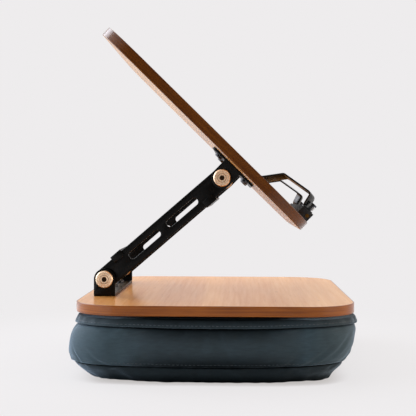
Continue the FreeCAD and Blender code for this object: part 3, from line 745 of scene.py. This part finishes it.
def dress(names, material):
    """Gives CAD pieces their material; their shape is shown as it is."""
    for name in names:
        assign(frame["nodes"][name], material)


def stand_in(name, mesh, source, material):
    """A piece that moves with a CAD piece and is shown in its place."""
    piece = add_object(name, mesh)
    assign(piece, material)
    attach(piece, frame["nodes"][source]["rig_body"])
    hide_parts(source)
    return piece


def softened_copy(name, source, material, width):
    """Stands in for a CAD piece with a copy whose sharp edges are rounded."""
    form = bmesh.new()
    form.from_mesh(frame["nodes"][source].data)
    # The loose triangles are joined, and those of one flat face become one face again.
    bmesh.ops.remove_doubles(form, verts=form.verts, dist=0.001 * MM)
    bmesh.ops.dissolve_limit(
        form, angle_limit=math.radians(0.5), verts=form.verts, edges=form.edges
    )
    bmesh.ops.recalc_face_normals(form, faces=form.faces)
    sharp = [
        edge for edge in form.edges
        if len(edge.link_faces) == 2 and edge.calc_face_angle(0.0) > math.radians(35)
    ]
    bmesh.ops.bevel(
        form, geom=sharp, offset=width, offset_type="OFFSET", segments=2, profile=0.5,
        affect="EDGES", clamp_overlap=True,
    )
    mesh = finished_mesh(name, form)
    mesh.shade_smooth()
    mesh.set_sharp_from_angle(angle=math.radians(40))
    stand_in(name, mesh, source, material)


def squeezed_coil(name, source, material):
    """Stands in for a clip's spring with a copy of it."""
    coil = stand_in(name, frame["nodes"][source].data.copy(), source, material)
    # The height of its top end, under the head of the post, is read.
    top = (read_points(coil.data) @ np.array(plate_normal)).max()
    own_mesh(coil)


def outline_points(count, corner):
    """Evenly spaced points round the board's outline, the outward direction at each, and the
    outline's length."""
    half = (board_hi - board_lo) / 2
    straight_x = 2 * (half.x - corner)
    straight_y = 2 * (half.y - corner)
    quarter = math.pi * corner / 2
    runs = (straight_y, quarter, straight_x, quarter, straight_y, quarter, straight_x, quarter)
    total = sum(runs)
    # A straight side and the corner after it are laid out at the right end, then turned in place.
    points = np.zeros((count, 2))
    outward = np.zeros((count, 2))
    places = np.arange(count) * total / count
    for number, place in enumerate(places):
        side = 0
        while place > runs[side]:
            place -= runs[side]
            side += 1
        turn = (side // 2) * math.pi / 2
        spin = np.array(((math.cos(turn), -math.sin(turn)), (math.sin(turn), math.cos(turn))))
        long_half, wide_half = (half.x, half.y) if side // 2 % 2 == 0 else (half.y, half.x)
        if side % 2 == 0:
            local = np.array((long_half, place - (wide_half - corner)))
            direction = np.array((1.0, 0.0))
        else:
            angle = place / corner
            direction = np.array((math.cos(angle), math.sin(angle)))
            local = np.array((long_half - corner, wide_half - corner)) + corner * direction
        points[number] = spin @ local
        outward[number] = spin @ direction
    return points, outward, total


def cover_rows():
    """Rows of height, share of the floor inset, distance outside, lean, swell and held, from the
    floor up."""
    rows = []
    for start, rise, panel, swells in (
        (0.0, side_lo.z, BASE_PANEL_ROWS, 0.0),
        (side_lo.z, side_hi.z - side_lo.z, SIDE_PANEL_ROWS, 1.0),
        (side_hi.z, cushion_top - side_hi.z, TOP_BAND_ROWS, 0.0),
    ):
        for share, keeps, out, lean, held in panel:
            swell = swells * math.sin(math.pi * min(1.0, share))
            rows.append((start + share * rise, keeps, out * MM, lean * MM, swell, held))
    return rows


def straightness(points, corner):
    """1 in the middle of each side of the cushion, falling to 0 where its corners begin."""
    half = board_hi - corner * Vector((1, 1, 0))
    inside = np.minimum(np.abs(points) / (half.x, half.y), 1)
    ends = np.abs(points[:, 0]) > half.x
    place = np.where(ends, inside[:, 1], inside[:, 0])
    place = np.where(ends & (np.abs(points[:, 1]) > half.y), 1, place)
    return 1 - place**4


def around(points):
    """The angle of each point round the cushion, in which every corner lies at 45 degrees."""
    return np.arctan2(points[:, 1] / board_hi.y, points[:, 0] / board_hi.x)


def seam_rise(points):
    """How far the seams stand above those of the solids: they climb towards each corner."""
    lift = bpy.context.scene.book_rest_cushion.corner_lift
    # In degrees round from the middle of the front or the back, the rise is greatest at 41 and
    # spreads over 16. It is a third more at the right end than in the middle of the cushion, and
    # 35 % of the lift is there all round.
    summit = 41
    spread = 16
    turned = np.degrees(np.abs(np.abs(around(points)) - math.pi / 2))
    rightward = 1 + 0.33 * points[:, 0] / board_hi.x
    return lift * (0.35 + rightward * np.exp(-(((turned - summit) / spread) ** 2)))


def build_cushion_mesh(name, count):
    """The cover before the filling swells it, open in the middle, with a cloth UV map in metres."""
    cushion = bpy.context.scene.book_rest_cushion
    points, outward, total = outline_points(count, cushion.corner_radius)
    rise = seam_rise(points)
    knots = (0.0, side_lo.z, (side_lo.z + side_hi.z) / 2, side_hi.z, cushion_top)
    middle = straightness(points, cushion.corner_radius)
    # In the middle of its ends the part on the floor is inset by 40 % less than at its corners, and
    # by 54 % less in the middle of its front and its back.
    fronts = np.abs(outward[:, 1])
    inset = cushion.floor_inset - middle * (0.4 + 0.14 * fronts) * cushion.floor_inset
    rings = []
    for height, keeps, out, lean, swell, held in cover_rows():
        reach = out - keeps * inset + swell * middle * cushion.side_swell
        ring = points + outward * reach[:, None] - np.array((lean, 0.0))
        levels = height + rise * np.interp(height, knots, (0, 1, 0.5, 1, 0))
        rings.append((ring, levels, held))
    # More rows lead in to the middle of the base and of the top.
    first, last = rings[0], rings[-1]
    rings = (
        [(first[0] * scale, first[1], 1) for scale in (0.4, 0.8)]
        + rings
        + [(last[0] * scale, last[1], 1) for scale in (0.85, 0.4)]
    )
    lengths = [0.0]
    for (before, low, _), (after, high, _) in zip(rings, rings[1:]):
        lengths.append(lengths[-1] + math.hypot(after[0][0] - before[0][0], high[0] - low[0]))
    form = bmesh.new()
    uv = form.loops.layers.uv.new("cloth")
    grid = [
        [form.verts.new((x, y, level)) for (x, y), level in zip(ring, levels)]
        for ring, levels, _ in rings
    ]
    for row in range(len(grid) - 1):
        for number in range(count):
            following = (number + 1) % count
            corners = (
                (grid[row][number], number, row),
                (grid[row][following], number + 1, row),
                (grid[row + 1][following], number + 1, row + 1),
                (grid[row + 1][number], number, row + 1),
            )
            face = form.faces.new([corner[0] for corner in corners])
            for loop, (_, step, level) in zip(face.loops, corners):
                loop[uv].uv = (step * total / count, lengths[level])
    piece = add_object(name, finished_mesh(name, form))
    group = piece.vertex_groups.new(name="held")
    for level, (_, _, held) in enumerate(rings):
        if held:
            group.add(range(level * count, (level + 1) * count), 1.0, "REPLACE")
    return piece


def swell(piece, count):
    """Blows the cover up against its seams as cloth and keeps the folds that this makes. The sewing
    pattern sets the average shape, so each row keeps its own average place."""
    cushion = bpy.context.scene.book_rest_cushion
    scene = bpy.context.scene
    start = read_points(piece.data)
    modifier = piece.modifiers.new("filling", "CLOTH")
    cloth = modifier.settings
    cloth.use_pressure = True
    cloth.uniform_pressure_force = cushion.pressure
    cloth.effector_weights.gravity = 0.0
    cloth.vertex_group_mass = "held"
    cloth.quality = 8
    cloth.tension_stiffness = 25
    cloth.compression_stiffness = 12
    cloth.bending_stiffness = 0.25
    cloth.shrink_min = -cushion.slack
    modifier.collision_settings.use_collision = False
    first, last = 1, 20
    modifier.point_cache.frame_start = first
    modifier.point_cache.frame_end = last
    for step in range(first, last + 1):
        scene.frame_set(step)
        bpy.context.view_layer.update()
    shown = piece.evaluated_get(bpy.context.evaluated_depsgraph_get())
    moved = read_points(shown.data) - start
    piece.modifiers.remove(modifier)
    scene.frame_set(first)
    tiny = 1e-9
    outward = start * (1, 1, 0)
    outward /= np.maximum(np.linalg.norm(outward, axis=1, keepdims=True), tiny)
    swelling = (moved * outward).sum(axis=1).reshape(-1, count)
    average = np.repeat(swelling.mean(axis=1), count)
    folds = moved - outward * average[:, None]
    depth = np.linalg.norm(folds, axis=1, keepdims=True)
    eased = cushion.fold_limit * np.tanh(depth / cushion.fold_limit)
    write_points(piece.data, start + folds * (eased / np.maximum(depth, tiny)))


def subdivide_and_close(piece, levels):
    """Makes the cover's mesh finer for good and closes its two open middles."""
    modifier = piece.modifiers.new("fine", "SUBSURF")
    modifier.levels = levels
    modifier.render_levels = levels
    depsgraph = bpy.context.evaluated_depsgraph_get()
    form = bmesh.new()
    form.from_object(piece, depsgraph)
    piece.modifiers.remove(modifier)
    open_edges = [edge for edge in form.edges if edge.is_boundary]
    bmesh.ops.holes_fill(form, edges=open_edges, sides=0)
    bmesh.ops.recalc_face_normals(form, faces=form.faces)
    form.to_mesh(piece.data)
    form.free()


def smooth_noise(seed, knots, places, period):
    """Periodic smooth noise round the cushion: random heights joined by a cubic."""
    heights = np.random.default_rng(seed).uniform(-1, 1, knots)
    at = (places / period % 1.0) * knots
    first = np.floor(at).astype(int)
    share = at - first
    a, b, c, d = (heights[(first + step) % knots] for step in (-1, 0, 1, 2))
    return b + 0.5 * share * (
        c - a + share * (2 * a - 5 * b + 4 * c - d + share * (3 * (b - c) + d - a))
    )


def crease_relief(points, place, direction, height, slant, reach, width):
    """A crease with a soft ridge beside it, at one place on the side of the cushion."""
    along = Vector((-direction[1], direction[0]))
    offset = points[:, :2] - place
    flat = offset @ np.array(along)
    up = points[:, 2] - height
    turn = math.radians(slant)
    lengthwise = flat * math.sin(turn) + up * math.cos(turn)
    across = flat * math.cos(turn) - up * math.sin(turn)
    near = np.exp(-((lengthwise / reach) ** 2)) * (np.linalg.norm(offset, axis=1) < 3 * reach)
    # The ridge is lower than the crease is deep, and 1.7 widths away from its middle.
    ridge = 0.6 * np.exp(-(((across - 1.7 * width) / width) ** 2))
    return near * (ridge - np.exp(-((across / width) ** 2)))


def pucker_relief(turn, over_lower, over_upper, depth):
    """Small gathers along both seams, weaker at the upper one. Heights are in millimetres."""
    relief = np.zeros(len(turn))
    lower = np.abs(over_lower)
    upper = np.abs(over_upper)
    # Fine, middling and broad gathers: seed, knots round the cushion, reach from the seam.
    for seed, knots, reach in ((11, 170, 3.0), (12, 101, 6.0), (13, 57, 11.0)):
        below = smooth_noise(seed, knots, turn, 2 * math.pi)
        above = smooth_noise(seed + 40, knots, turn, 2 * math.pi)
        near = below * np.exp(-lower / reach) + 0.6 * above * np.exp(-upper / reach)
        relief += near * depth * (0.4 + 0.16 * reach / 3)
    return relief


def cloth_shade(points, over_lower, over_upper, corners):
    """The light and shade painted on the cloth at each point. Heights over the seams are in
    millimetres.
    """
    # Painted light and shade: the side is painted pale on its bulge and at the corners, darker near
    # its seams.
    share = np.clip(over_lower / (over_lower - over_upper), 0, 1)
    painted_shading = 1 - 0.75 * (1 - corners) * (1 - np.sin(math.pi * share) ** 2) + 0.65 * corners
    # Painted shade: the top's band is pale just over its seam and dark under the board, and the base
    # darkest on the floor.
    band = 0.25 + 0.65 * np.clip(1 - over_upper / 6, 0, 1) + 0.3 * corners
    base = 0.5 * np.clip(points[:, 2] / (8 * MM), 0.05, 1) + 0.15 * corners
    shade = np.where(over_upper > -0.2, band, np.where(over_lower < 0, base, painted_shading))
    # Painted shadow: the rim under the board and a narrow line below each seam are painted dark.
    shade *= 1 - 0.85 * np.clip((over_upper - 6.2) / 1.2, 0, 1)
    shade *= 1 - 0.75 * np.exp(-(((over_upper + 0.7) / 0.8) ** 2))
    shade *= 1 - 0.75 * np.exp(-(((over_lower + 0.6) / 0.8) ** 2))
    return shade


def gather(piece):
    """Puckers the cloth along the seams, creases it at the corners and paints its light and shade.
    """
    cushion = bpy.context.scene.book_rest_cushion
    mesh = piece.data
    points = read_points(mesh)
    normals = read_points(mesh, "normal")
    rise = seam_rise(points)
    over_lower = (points[:, 2] - side_lo.z - rise) / MM
    over_upper = (points[:, 2] - side_hi.z - rise) / MM
    relief = pucker_relief(around(points), over_lower, over_upper, cushion.pucker)
    samples = 360
    outline, outward, _ = outline_points(samples, cushion.corner_radius)
    middle = (side_lo.z + side_hi.z) / 2
    span = side_hi.z - side_lo.z
    for place, height, slant, reach, width, strength in CREASES:
        at = int(place * samples) % samples
        relief += strength * cushion.crease * crease_relief(
            points, outline[at], outward[at], middle + height * span, slant, reach * MM, width * MM
        )
    corners = 1 - straightness(points[:, :2], cushion.corner_radius)
    # The painted light and shade go on the mesh for the cloth's material.
    painted = mesh.attributes.new("painted_light_and_shade", "FLOAT", "POINT")
    painted.data.foreach_set("value", cloth_shade(points, over_lower, over_upper, corners))
    # Only upright cloth gathers: the flat parts of the top and the base stay as they are.
    upright = np.clip(np.hypot(normals[:, 0], normals[:, 1]) * 1.6 - 0.3, 0, 1)
    points = points + normals * (relief * upright)[:, None]
    points[:, 2] = np.clip(points[:, 2], 0.0, cushion_top)
    write_points(mesh, points)


def surface_ring(piece, height, samples, lift):
    """Points round the cushion beside a seam, a little outside its skin."""
    depsgraph = bpy.context.evaluated_depsgraph_get()
    skin = BVHTree.FromObject(piece, depsgraph)
    corner = bpy.context.scene.book_rest_cushion.corner_radius
    points, outward, _ = outline_points(samples, corner)
    clear = 50 * MM
    ring = []
    for (x, y), (across, along), rise in zip(points, outward, seam_rise(points)):
        direction = Vector((across, along, 0))
        start = Vector((x, y, height + rise)) + direction * clear
        hit, _, _, _ = skin.ray_cast(start, -direction)
        if hit is None:
            raise RuntimeError("the stitch row misses the cushion")
        ring.append(hit + direction * lift)
    return ring


def stitch_tree(material):
    """Geometry nodes that lay one stitch after another along a path, and the identifiers of their
    three sizes."""
    tree = bpy.data.node_groups.new("stitch_row", "GeometryNodeTree")
    face = tree.interface
    face.new_socket("Geometry", in_out="INPUT", socket_type="NodeSocketGeometry")
    sizes = {}
    for name in ("Pitch", "Length", "Thickness"):
        socket = face.new_socket(name, in_out="INPUT", socket_type="NodeSocketFloat")
        socket.subtype = "DISTANCE"
        sizes[name] = socket.identifier
    face.new_socket("Geometry", in_out="OUTPUT", socket_type="NodeSocketGeometry")
    given = add_node(tree, "NodeGroupInput")
    path = add_node(tree, "GeometryNodeMeshToCurve", inputs={"Mesh": given.outputs["Geometry"]})
    spaced = add_node(
        tree, "GeometryNodeResampleCurve", {"mode": "LENGTH"},
        {"Curve": path.outputs["Curve"], "Length": given.outputs["Pitch"]},
    )
    along = add_node(tree, "GeometryNodeInputTangent")
    turned = add_node(
        tree, "FunctionNodeAlignRotationToVector", {"axis": "Z"},
        {"Vector": along.outputs["Tangent"]},
    )
    # Each stitch is a small ball that is stretched along the path.
    thread = add_node(
        tree, "GeometryNodeMeshUVSphere",
        inputs={"Segments": 8, "Rings": 6, "Radius": 0.5},
    )
    size = add_node(
        tree, "ShaderNodeCombineXYZ",
        inputs={"X": given.outputs["Thickness"], "Y": given.outputs["Thickness"],
                "Z": given.outputs["Length"]},
    )
    placed = add_node(
        tree, "GeometryNodeInstanceOnPoints",
        inputs={"Points": spaced.outputs["Curve"], "Instance": thread.outputs["Mesh"],
                "Rotation": turned.outputs["Rotation"], "Scale": size.outputs["Vector"]},
    )
    real = add_node(
        tree, "GeometryNodeRealizeInstances", inputs={"Geometry": placed.outputs["Instances"]},
    )
    smooth = add_node(
        tree, "GeometryNodeSetShadeSmooth", inputs={"Geometry": real.outputs["Geometry"]},
    )
    painted = add_node(
        tree, "GeometryNodeSetMaterial",
        inputs={"Geometry": smooth.outputs["Geometry"], "Material": material},
    )
    add_node(tree, "NodeGroupOutput", inputs={"Geometry": painted.outputs["Geometry"]})
    return tree, sizes


# Operators, one for each group of pieces


class BOOKREST_OT_boards(bpy.types.Operator):
    """Veneer the base board and the book plate, and band their edges"""

    bl_idname = "book_rest.boards"
    bl_label = "Boards"

    def execute(self, context):
        # The grain follows each board's own tilt. The book plate's veneer and edge band are toned
        # darker as painted shade, its edge band most.
        level = (0, 0, 0)
        tilted = (0, -plate_tilt, 0)
        base = veneer_material("walnut_veneer_level", level, tone=1.0, coat=0.4)
        plate = veneer_material("walnut_veneer_tilted_painted_shade", tilted, tone=0.78, coat=0.5)
        base_band = edge_band_material("walnut_edge_band_level", level, tone=0.84)
        plate_band = edge_band_material("walnut_edge_band_tilted_painted_shade", tilted, tone=0.34)
        dress(["base_board"], base)
        dress(["book_plate"], plate)
        dress(["base_edge_band"], base_band)
        dress(["plate_edge_band"], plate_band)
        return {"FINISHED"}


class BOOKREST_OT_arms(bpy.types.Operator):
    """Coat the brackets, the arm bars and the cross braces"""

    bl_idname = "book_rest.arms"
    bl_label = "Brackets and arms"

    def execute(self, context):
        steel = context.scene.book_rest_steel
        coating = coated_metal_material(
            "black_powder_coat", roughness=0.32, colour=steel.colour, gleam=0.12
        )
        for source in (
            "lower_bracket", "upper_bracket", "near_arm_bar", "far_arm_bar",
            "lower_cross_brace", "upper_cross_brace",
        ):
            softened_copy(source + "_coated", source, coating, steel.edge_round)
        return {"FINISHED"}


class BOOKREST_OT_hinges(bpy.types.Operator):
    """Plate the hinge bolts and nuts, and colour the washers"""

    bl_idname = "book_rest.hinges"
    bl_label = "Hinge bolts"

    def execute(self, context):
        steel = context.scene.book_rest_steel
        for level, centre in (("lower", lower_pivot), ("upper", upper_pivot)):
            copper = turned_metal_material(level + "_copper_plating", centre, steel.copper)
            dress([level + "_hinge_bolts", level + "_sleeve_nuts"], copper)
        nylon = moulded_plastic_material("black_nylon", "#101012", roughness=0.5)
        dress(["lower_friction_washers", "upper_friction_washers"], nylon)
        return {"FINISHED"}


class BOOKREST_OT_screws(bpy.types.Operator):
    """Finish the wood screws of the brackets and of the ledge"""

    bl_idname = "book_rest.screws"
    bl_label = "Screws"

    def execute(self, context):
        black = plain_metal_material("black_zinc", "#4A4A4C", roughness=0.28)
        dress(["lower_bracket_screws", "upper_bracket_screws", "ledge_screws"], black)
        brass = plain_metal_material("dulled_brass", "#6A4A20", roughness=0.4)
        dress(["ledge_end_screws"], brass)
        return {"FINISHED"}


class BOOKREST_OT_ledge(bpy.types.Operator):
    """Finish the ledge and its end caps"""

    bl_idname = "book_rest.ledge"
    bl_label = "Ledge"

    def execute(self, context):
        steel = context.scene.book_rest_steel
        anodised = coated_metal_material(
            "black_anodised_aluminium", roughness=0.45, colour=steel.colour, gleam=0.02
        )
        softened_copy("ledge_bar", "book_ledge", anodised, steel.edge_round)
        caps = moulded_plastic_material("black_abs", "#0E0E10", roughness=0.45)
        softened_copy("ledge_caps", "ledge_end_caps", caps, steel.edge_round)
        return {"FINISHED"}


class BOOKREST_OT_clips(bpy.types.Operator):
    """Finish the page clips, their posts and their springs"""

    bl_idname = "book_rest.clips"
    bl_label = "Page clips"

    def execute(self, context):
        steel = context.scene.book_rest_steel
        enamel = coated_metal_material(
            "black_enamel", roughness=0.22, colour=steel.colour, gleam=0.45
        )
        for side in ("near", "far"):
            softened_copy(
                side + "_clip_strip", side + "_page_clip", enamel, steel.clip_round
            )
        posts = plain_metal_material("black_zinc_posts", "#55555A", roughness=0.25)
        dress(["clip_posts"], posts)
        springs = plain_metal_material("oiled_spring_steel", "#8A8A8C", roughness=0.3)
        for side in ("near", "far"):
            squeezed_coil(
                side + "_clip_coil", side + "_clip_spring", springs,
            )
        return {"FINISHED"}


class BOOKREST_OT_cushion(bpy.types.Operator):
    """Sew and stuff the cushion"""

    bl_idname = "book_rest.cushion"
    bl_label = "Cushion"

    def execute(self, context):
        # Points in each row round the cover, before it is made finer
        count = 176
        piece = build_cushion_mesh("cushion_cover", count)
        swell(piece, count)
        subdivide_and_close(piece, levels=2)
        gather(piece)
        piece.data.shade_smooth()
        assign(piece, woven_cloth_material("slate_twill"))
        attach(piece, "base")
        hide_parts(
            "cushion_top_panel", "cushion_side_panel", "cushion_base_panel",
            "cushion_filling",
        )
        return {"FINISHED"}


class BOOKREST_OT_stitches(bpy.types.Operator):
    """Sew a row of topstitching beside each seam of the cushion"""

    bl_idname = "book_rest.stitches"
    bl_label = "Stitches"

    def execute(self, context):
        stitches = context.scene.book_rest_stitches
        cover = bpy.data.objects["cushion_cover"]
        # The thread is sunk into the cloth by about a third of its thickness.
        lift = stitches.thickness * 0.2
        form = bmesh.new()
        for seam in (side_hi.z, side_lo.z):
            height = seam + stitches.from_seam
            ring = surface_ring(cover, height, stitches.samples, lift)
            verts = [form.verts.new(point) for point in ring]
            for number, vert in enumerate(verts):
                form.edges.new((vert, verts[(number + 1) % len(verts)]))
        path = add_object("stitch_paths", finished_mesh("stitch_paths", form))
        tree, sizes = stitch_tree(thread_material("sewing_thread"))
        modifier = path.modifiers.new("stitches", "NODES")
        modifier.node_group = tree
        modifier[sizes["Pitch"]] = stitches.pitch
        modifier[sizes["Length"]] = stitches.length
        modifier[sizes["Thickness"]] = stitches.thickness
        depsgraph = context.evaluated_depsgraph_get()
        sewn = bpy.data.meshes.new_from_object(path.evaluated_get(depsgraph))
        bpy.data.objects.remove(path)
        piece = add_object("cushion_stitches", sewn)
        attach(piece, "base")
        return {"FINISHED"}


class BOOKREST_OT_tape(bpy.types.Operator):
    """Give the fastening strips their pile"""

    bl_idname = "book_rest.tape"
    bl_label = "Fastening tape"

    def execute(self, context):
        dress(["hook_strips", "loop_strips"], pile_tape_material("nylon_pile_tape", "#1C1C20"))
        return {"FINISHED"}


# Studio


def backdrop_material(name):
    """Matt painted paper: pale and even for the camera, with the object's soft shadow on it."""
    studio = bpy.context.scene.book_rest_studio
    material, tree, surface = new_material(name)
    set_surface(surface, Base_Color=linear("#E3E2E2"), Roughness=0.95, Specular_IOR_Level=0.0)
    # The occlusion looks up and mostly to the back, so the shadow is longest in front.
    outlook = add_node(
        tree, "ShaderNodeCombineXYZ", inputs={"X": -0.25, "Y": 0.75, "Z": 0.6},
    )
    closeness = add_node(
        tree, "ShaderNodeAmbientOcclusion", {"samples": 12},
        {"Distance": studio.shadow_reach, "Normal": outlook.outputs["Vector"]},
    )
    shade = add_node(
        tree, "ShaderNodeValToRGB", inputs={"Fac": closeness.outputs["AO"]},
        stops=((0.05, "#D2D0CD"), (0.35, "#DFDDDB"), (0.7, "#F3F2F2"), (0.95, "#FFFFFF")),
    )
    # Light from the left and the right thins the shadow at the cushion's two ends.
    place = add_node(tree, "ShaderNodeTexCoord").outputs["Object"]
    sideways = add_node(tree, "ShaderNodeSeparateXYZ", inputs={"Vector": place})
    end_on = add_node(
        tree, "ShaderNodeMath", {"operation": "ABSOLUTE"}, {0: sideways.outputs["X"]},
    )
    thinned = add_node(
        tree, "ShaderNodeMapRange", {"interpolation_type": "SMOOTHSTEP"},
        {"Value": end_on.outputs[0], "From Min": 0.095, "From Max": 0.13,
         "To Min": 1.0, "To Max": 0.12},
    )
    shaded = add_node(
        tree, "ShaderNodeMix", MULTIPLIED,
        {0: thinned.outputs["Result"], 6: tuple(studio.backdrop), 7: shade.outputs["Color"]},
    )
    shown = add_node(tree, "ShaderNodeEmission", inputs={"Color": shaded.outputs[2]})
    # Lit paper counts only near the object, so that no horizon shows.
    away = add_node(tree, "ShaderNodeVectorMath", {"operation": "LENGTH"}, {0: place})
    painted = add_node(
        tree, "ShaderNodeMapRange", {"interpolation_type": "SMOOTHSTEP"},
        {"Value": away.outputs["Value"], "From Min": 0.18, "From Max": 0.45, "To Min": 0.86},
    )
    rays = add_node(tree, "ShaderNodeLightPath")
    seen = add_node(
        tree, "ShaderNodeMath", {"operation": "MULTIPLY"},
        {0: rays.outputs["Is Camera Ray"], 1: painted.outputs["Result"]},
    )
    both = add_node(
        tree, "ShaderNodeMixShader",
        inputs={0: seen.outputs[0], 1: surface.outputs["BSDF"], 2: shown.outputs[0]},
    )
    output = next(item for item in tree.nodes if item.type == "OUTPUT_MATERIAL")
    tree.links.new(both.outputs[0], output.inputs["Surface"])
    return material


def lay_floor():
    """A round floor of backdrop paper, far wider than the camera sees."""
    form = bmesh.new()
    bmesh.ops.create_circle(form, cap_ends=True, segments=96, radius=12.0)
    floor = add_object("studio_floor", finished_mesh("studio_floor", form))
    assign(floor, backdrop_material("backdrop_paper"))


def soft_lamp(name, place, target, size, power, colour):
    """An area lamp that points at a target and doesn't show itself."""
    light = bpy.data.lights.new(name, "AREA")
    light.shape = "RECTANGLE"
    light.size, light.size_y = size
    light.energy = power
    light.color = linear(colour)[:3]
    lamp = add_object(name, light)
    lamp.location = place
    lamp.rotation_euler = (Vector(target) - Vector(place)).to_track_quat("-Z", "Y").to_euler()
    lamp.visible_camera = False


def pale_room(name):
    """A world that is bright behind and above the object and dim on the camera's side of it."""
    studio = bpy.context.scene.book_rest_studio
    world = bpy.data.worlds.new(name)
    bpy.context.scene.world = world
    world.use_nodes = True
    tree = world.node_tree
    tree.nodes.clear()
    outward = add_node(tree, "ShaderNodeTexCoord").outputs["Generated"]
    direction = add_node(tree, "ShaderNodeSeparateXYZ", inputs={"Vector": outward})
    behind = add_node(
        tree, "ShaderNodeMapRange", {"interpolation_type": "SMOOTHSTEP"},
        {"Value": direction.outputs["Y"], "From Min": -0.75, "From Max": 0.1,
         "To Min": studio.front_share},
    )
    # Shiny and clear pieces show the room at its full strength.
    rays = add_node(tree, "ShaderNodeLightPath")
    mirrored = add_node(
        tree, "ShaderNodeMath", {"operation": "MAXIMUM"},
        {0: rays.outputs["Is Glossy Ray"], 1: rays.outputs["Is Transmission Ray"]},
    )
    strength = add_node(
        tree, "ShaderNodeMix",
        inputs={"Factor": mirrored.outputs[0], "A": studio.room_light, "B": 1.0},
    )
    lit = add_node(
        tree, "ShaderNodeMath", {"operation": "MULTIPLY"},
        {0: behind.outputs["Result"], 1: strength.outputs["Result"]},
    )
    room = add_node(
        tree, "ShaderNodeBackground",
        inputs={"Color": tuple(studio.backdrop), "Strength": lit.outputs[0]},
    )
    plain = add_node(
        tree, "ShaderNodeBackground", inputs={"Color": tuple(studio.backdrop)},
    )
    both = add_node(
        tree, "ShaderNodeMixShader",
        inputs={0: rays.outputs["Is Camera Ray"], 1: room.outputs[0], 2: plain.outputs[0]},
    )
    add_node(tree, "ShaderNodeOutputWorld", inputs={"Surface": both.outputs[0]})


def set_camera(name, focal_length):
    """The photograph's viewpoint: turned 1.8 degrees left of +Y and 0.9 degrees down."""
    lens = bpy.data.cameras.new(name)
    lens.sensor_width = 36.0
    lens.lens = focal_length
    camera = add_object(name, lens)
    turn = (
        Matrix.Rotation(math.radians(1.8045), 4, "Z")
        @ Matrix.Rotation(math.radians(-0.8705), 4, "X")
        @ Matrix.Rotation(math.radians(-0.1561), 4, "Y")
        @ Matrix.Rotation(math.radians(90), 4, "X")
    )
    camera.matrix_world = Matrix.Translation((0.021105, -0.981016, 0.164469)) @ turn
    bpy.context.scene.camera = camera


class BOOKREST_OT_studio(bpy.types.Operator):
    """Set the floor, the backdrop, the lamps and the camera"""

    bl_idname = "book_rest.studio"
    bl_label = "Studio"

    def execute(self, context):
        studio = context.scene.book_rest_studio
        lay_floor()
        middle = (0.0, 0.0, 0.12)
        low = (0.0, 0.0, 0.06)
        window, overhead, right = studio.window_power, studio.top_power, studio.right_power
        front, back = studio.front_power, studio.back_power
        # Each lamp: name, place, the point that it faces, width and height, power, colour.
        for lamp in (
            ("window_lamp", (-1.3, -0.04, 0.62), middle, (1.9, 1.15), window, "#E6F0FF"),
            ("right_lamp", (1.2, -0.1, 0.55), middle, (1.2, 1.0), right, "#FFF0DF"),
            ("front_right_lamp", (0.7, -0.5, 0.15), low, (0.4, 0.25), 0.9 * front, "#FFF3E6"),
            ("overhead_lamp", (-0.1, 0.7, 1.3), middle, (1.0, 1.0), overhead, "#FFFAF4"),
            ("back_left_lamp", (-0.8, 0.64, 0.84), middle, (0.6, 0.6), back, "#F0F4FF"),
            ("front_left_lamp", (-0.62, -0.62, 0.15), low, (0.4, 0.25), front, "#F6F9FC"),
        ):
            soft_lamp(*lamp)
        pale_room("pale_room")
        set_camera("camera", studio.lens)
        context.scene.view_settings.view_transform = "Standard"
        return {"FINISHED"}


# Sidebar and start


class BOOKREST_PT_sidebar(bpy.types.Panel):
    """The pieces of the book rest and the settings that they read"""

    bl_idname = "BOOKREST_PT_sidebar"
    bl_label = "Book Rest"
    bl_space_type = "VIEW_3D"
    bl_region_type = "UI"
    bl_category = "Book Rest"

    def draw(self, context):
        layout = self.layout
        for operator in OPERATORS:
            layout.operator(operator.bl_idname, text=operator.bl_label)
        for attribute, group in SETTINGS.items():
            box = layout.box()
            for field in group.__annotations__:
                box.prop(getattr(context.scene, attribute), field)


SETTINGS = {
    "book_rest_cushion": CushionSettings,
    "book_rest_stitches": StitchSettings,
    "book_rest_boards": BoardSettings,
    "book_rest_steel": SteelSettings,
    "book_rest_studio": StudioSettings,
}
OPERATORS = (
    BOOKREST_OT_studio,
    BOOKREST_OT_boards,
    BOOKREST_OT_arms,
    BOOKREST_OT_hinges,
    BOOKREST_OT_screws,
    BOOKREST_OT_ledge,
    BOOKREST_OT_clips,
    BOOKREST_OT_tape,
    BOOKREST_OT_cushion,
    BOOKREST_OT_stitches,
)


def register():
    for group in SETTINGS.values():
        bpy.utils.register_class(group)
    for attribute, group in SETTINGS.items():
        setattr(bpy.types.Scene, attribute, PointerProperty(type=group))
    for operator in OPERATORS:
        bpy.utils.register_class(operator)
    bpy.utils.register_class(BOOKREST_PT_sidebar)


def unregister():
    bpy.utils.unregister_class(BOOKREST_PT_sidebar)
    for operator in reversed(OPERATORS):
        bpy.utils.unregister_class(operator)
    for attribute in SETTINGS:
        delattr(bpy.types.Scene, attribute)
    for group in SETTINGS.values():
        bpy.utils.unregister_class(group)


def main():
    """Registers the parts of the add-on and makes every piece."""
    register()
    for operator in OPERATORS:
        category, action = operator.bl_idname.split(".")
        getattr(getattr(bpy.ops, category), action)()


if __name__ == "__main__":
    main()
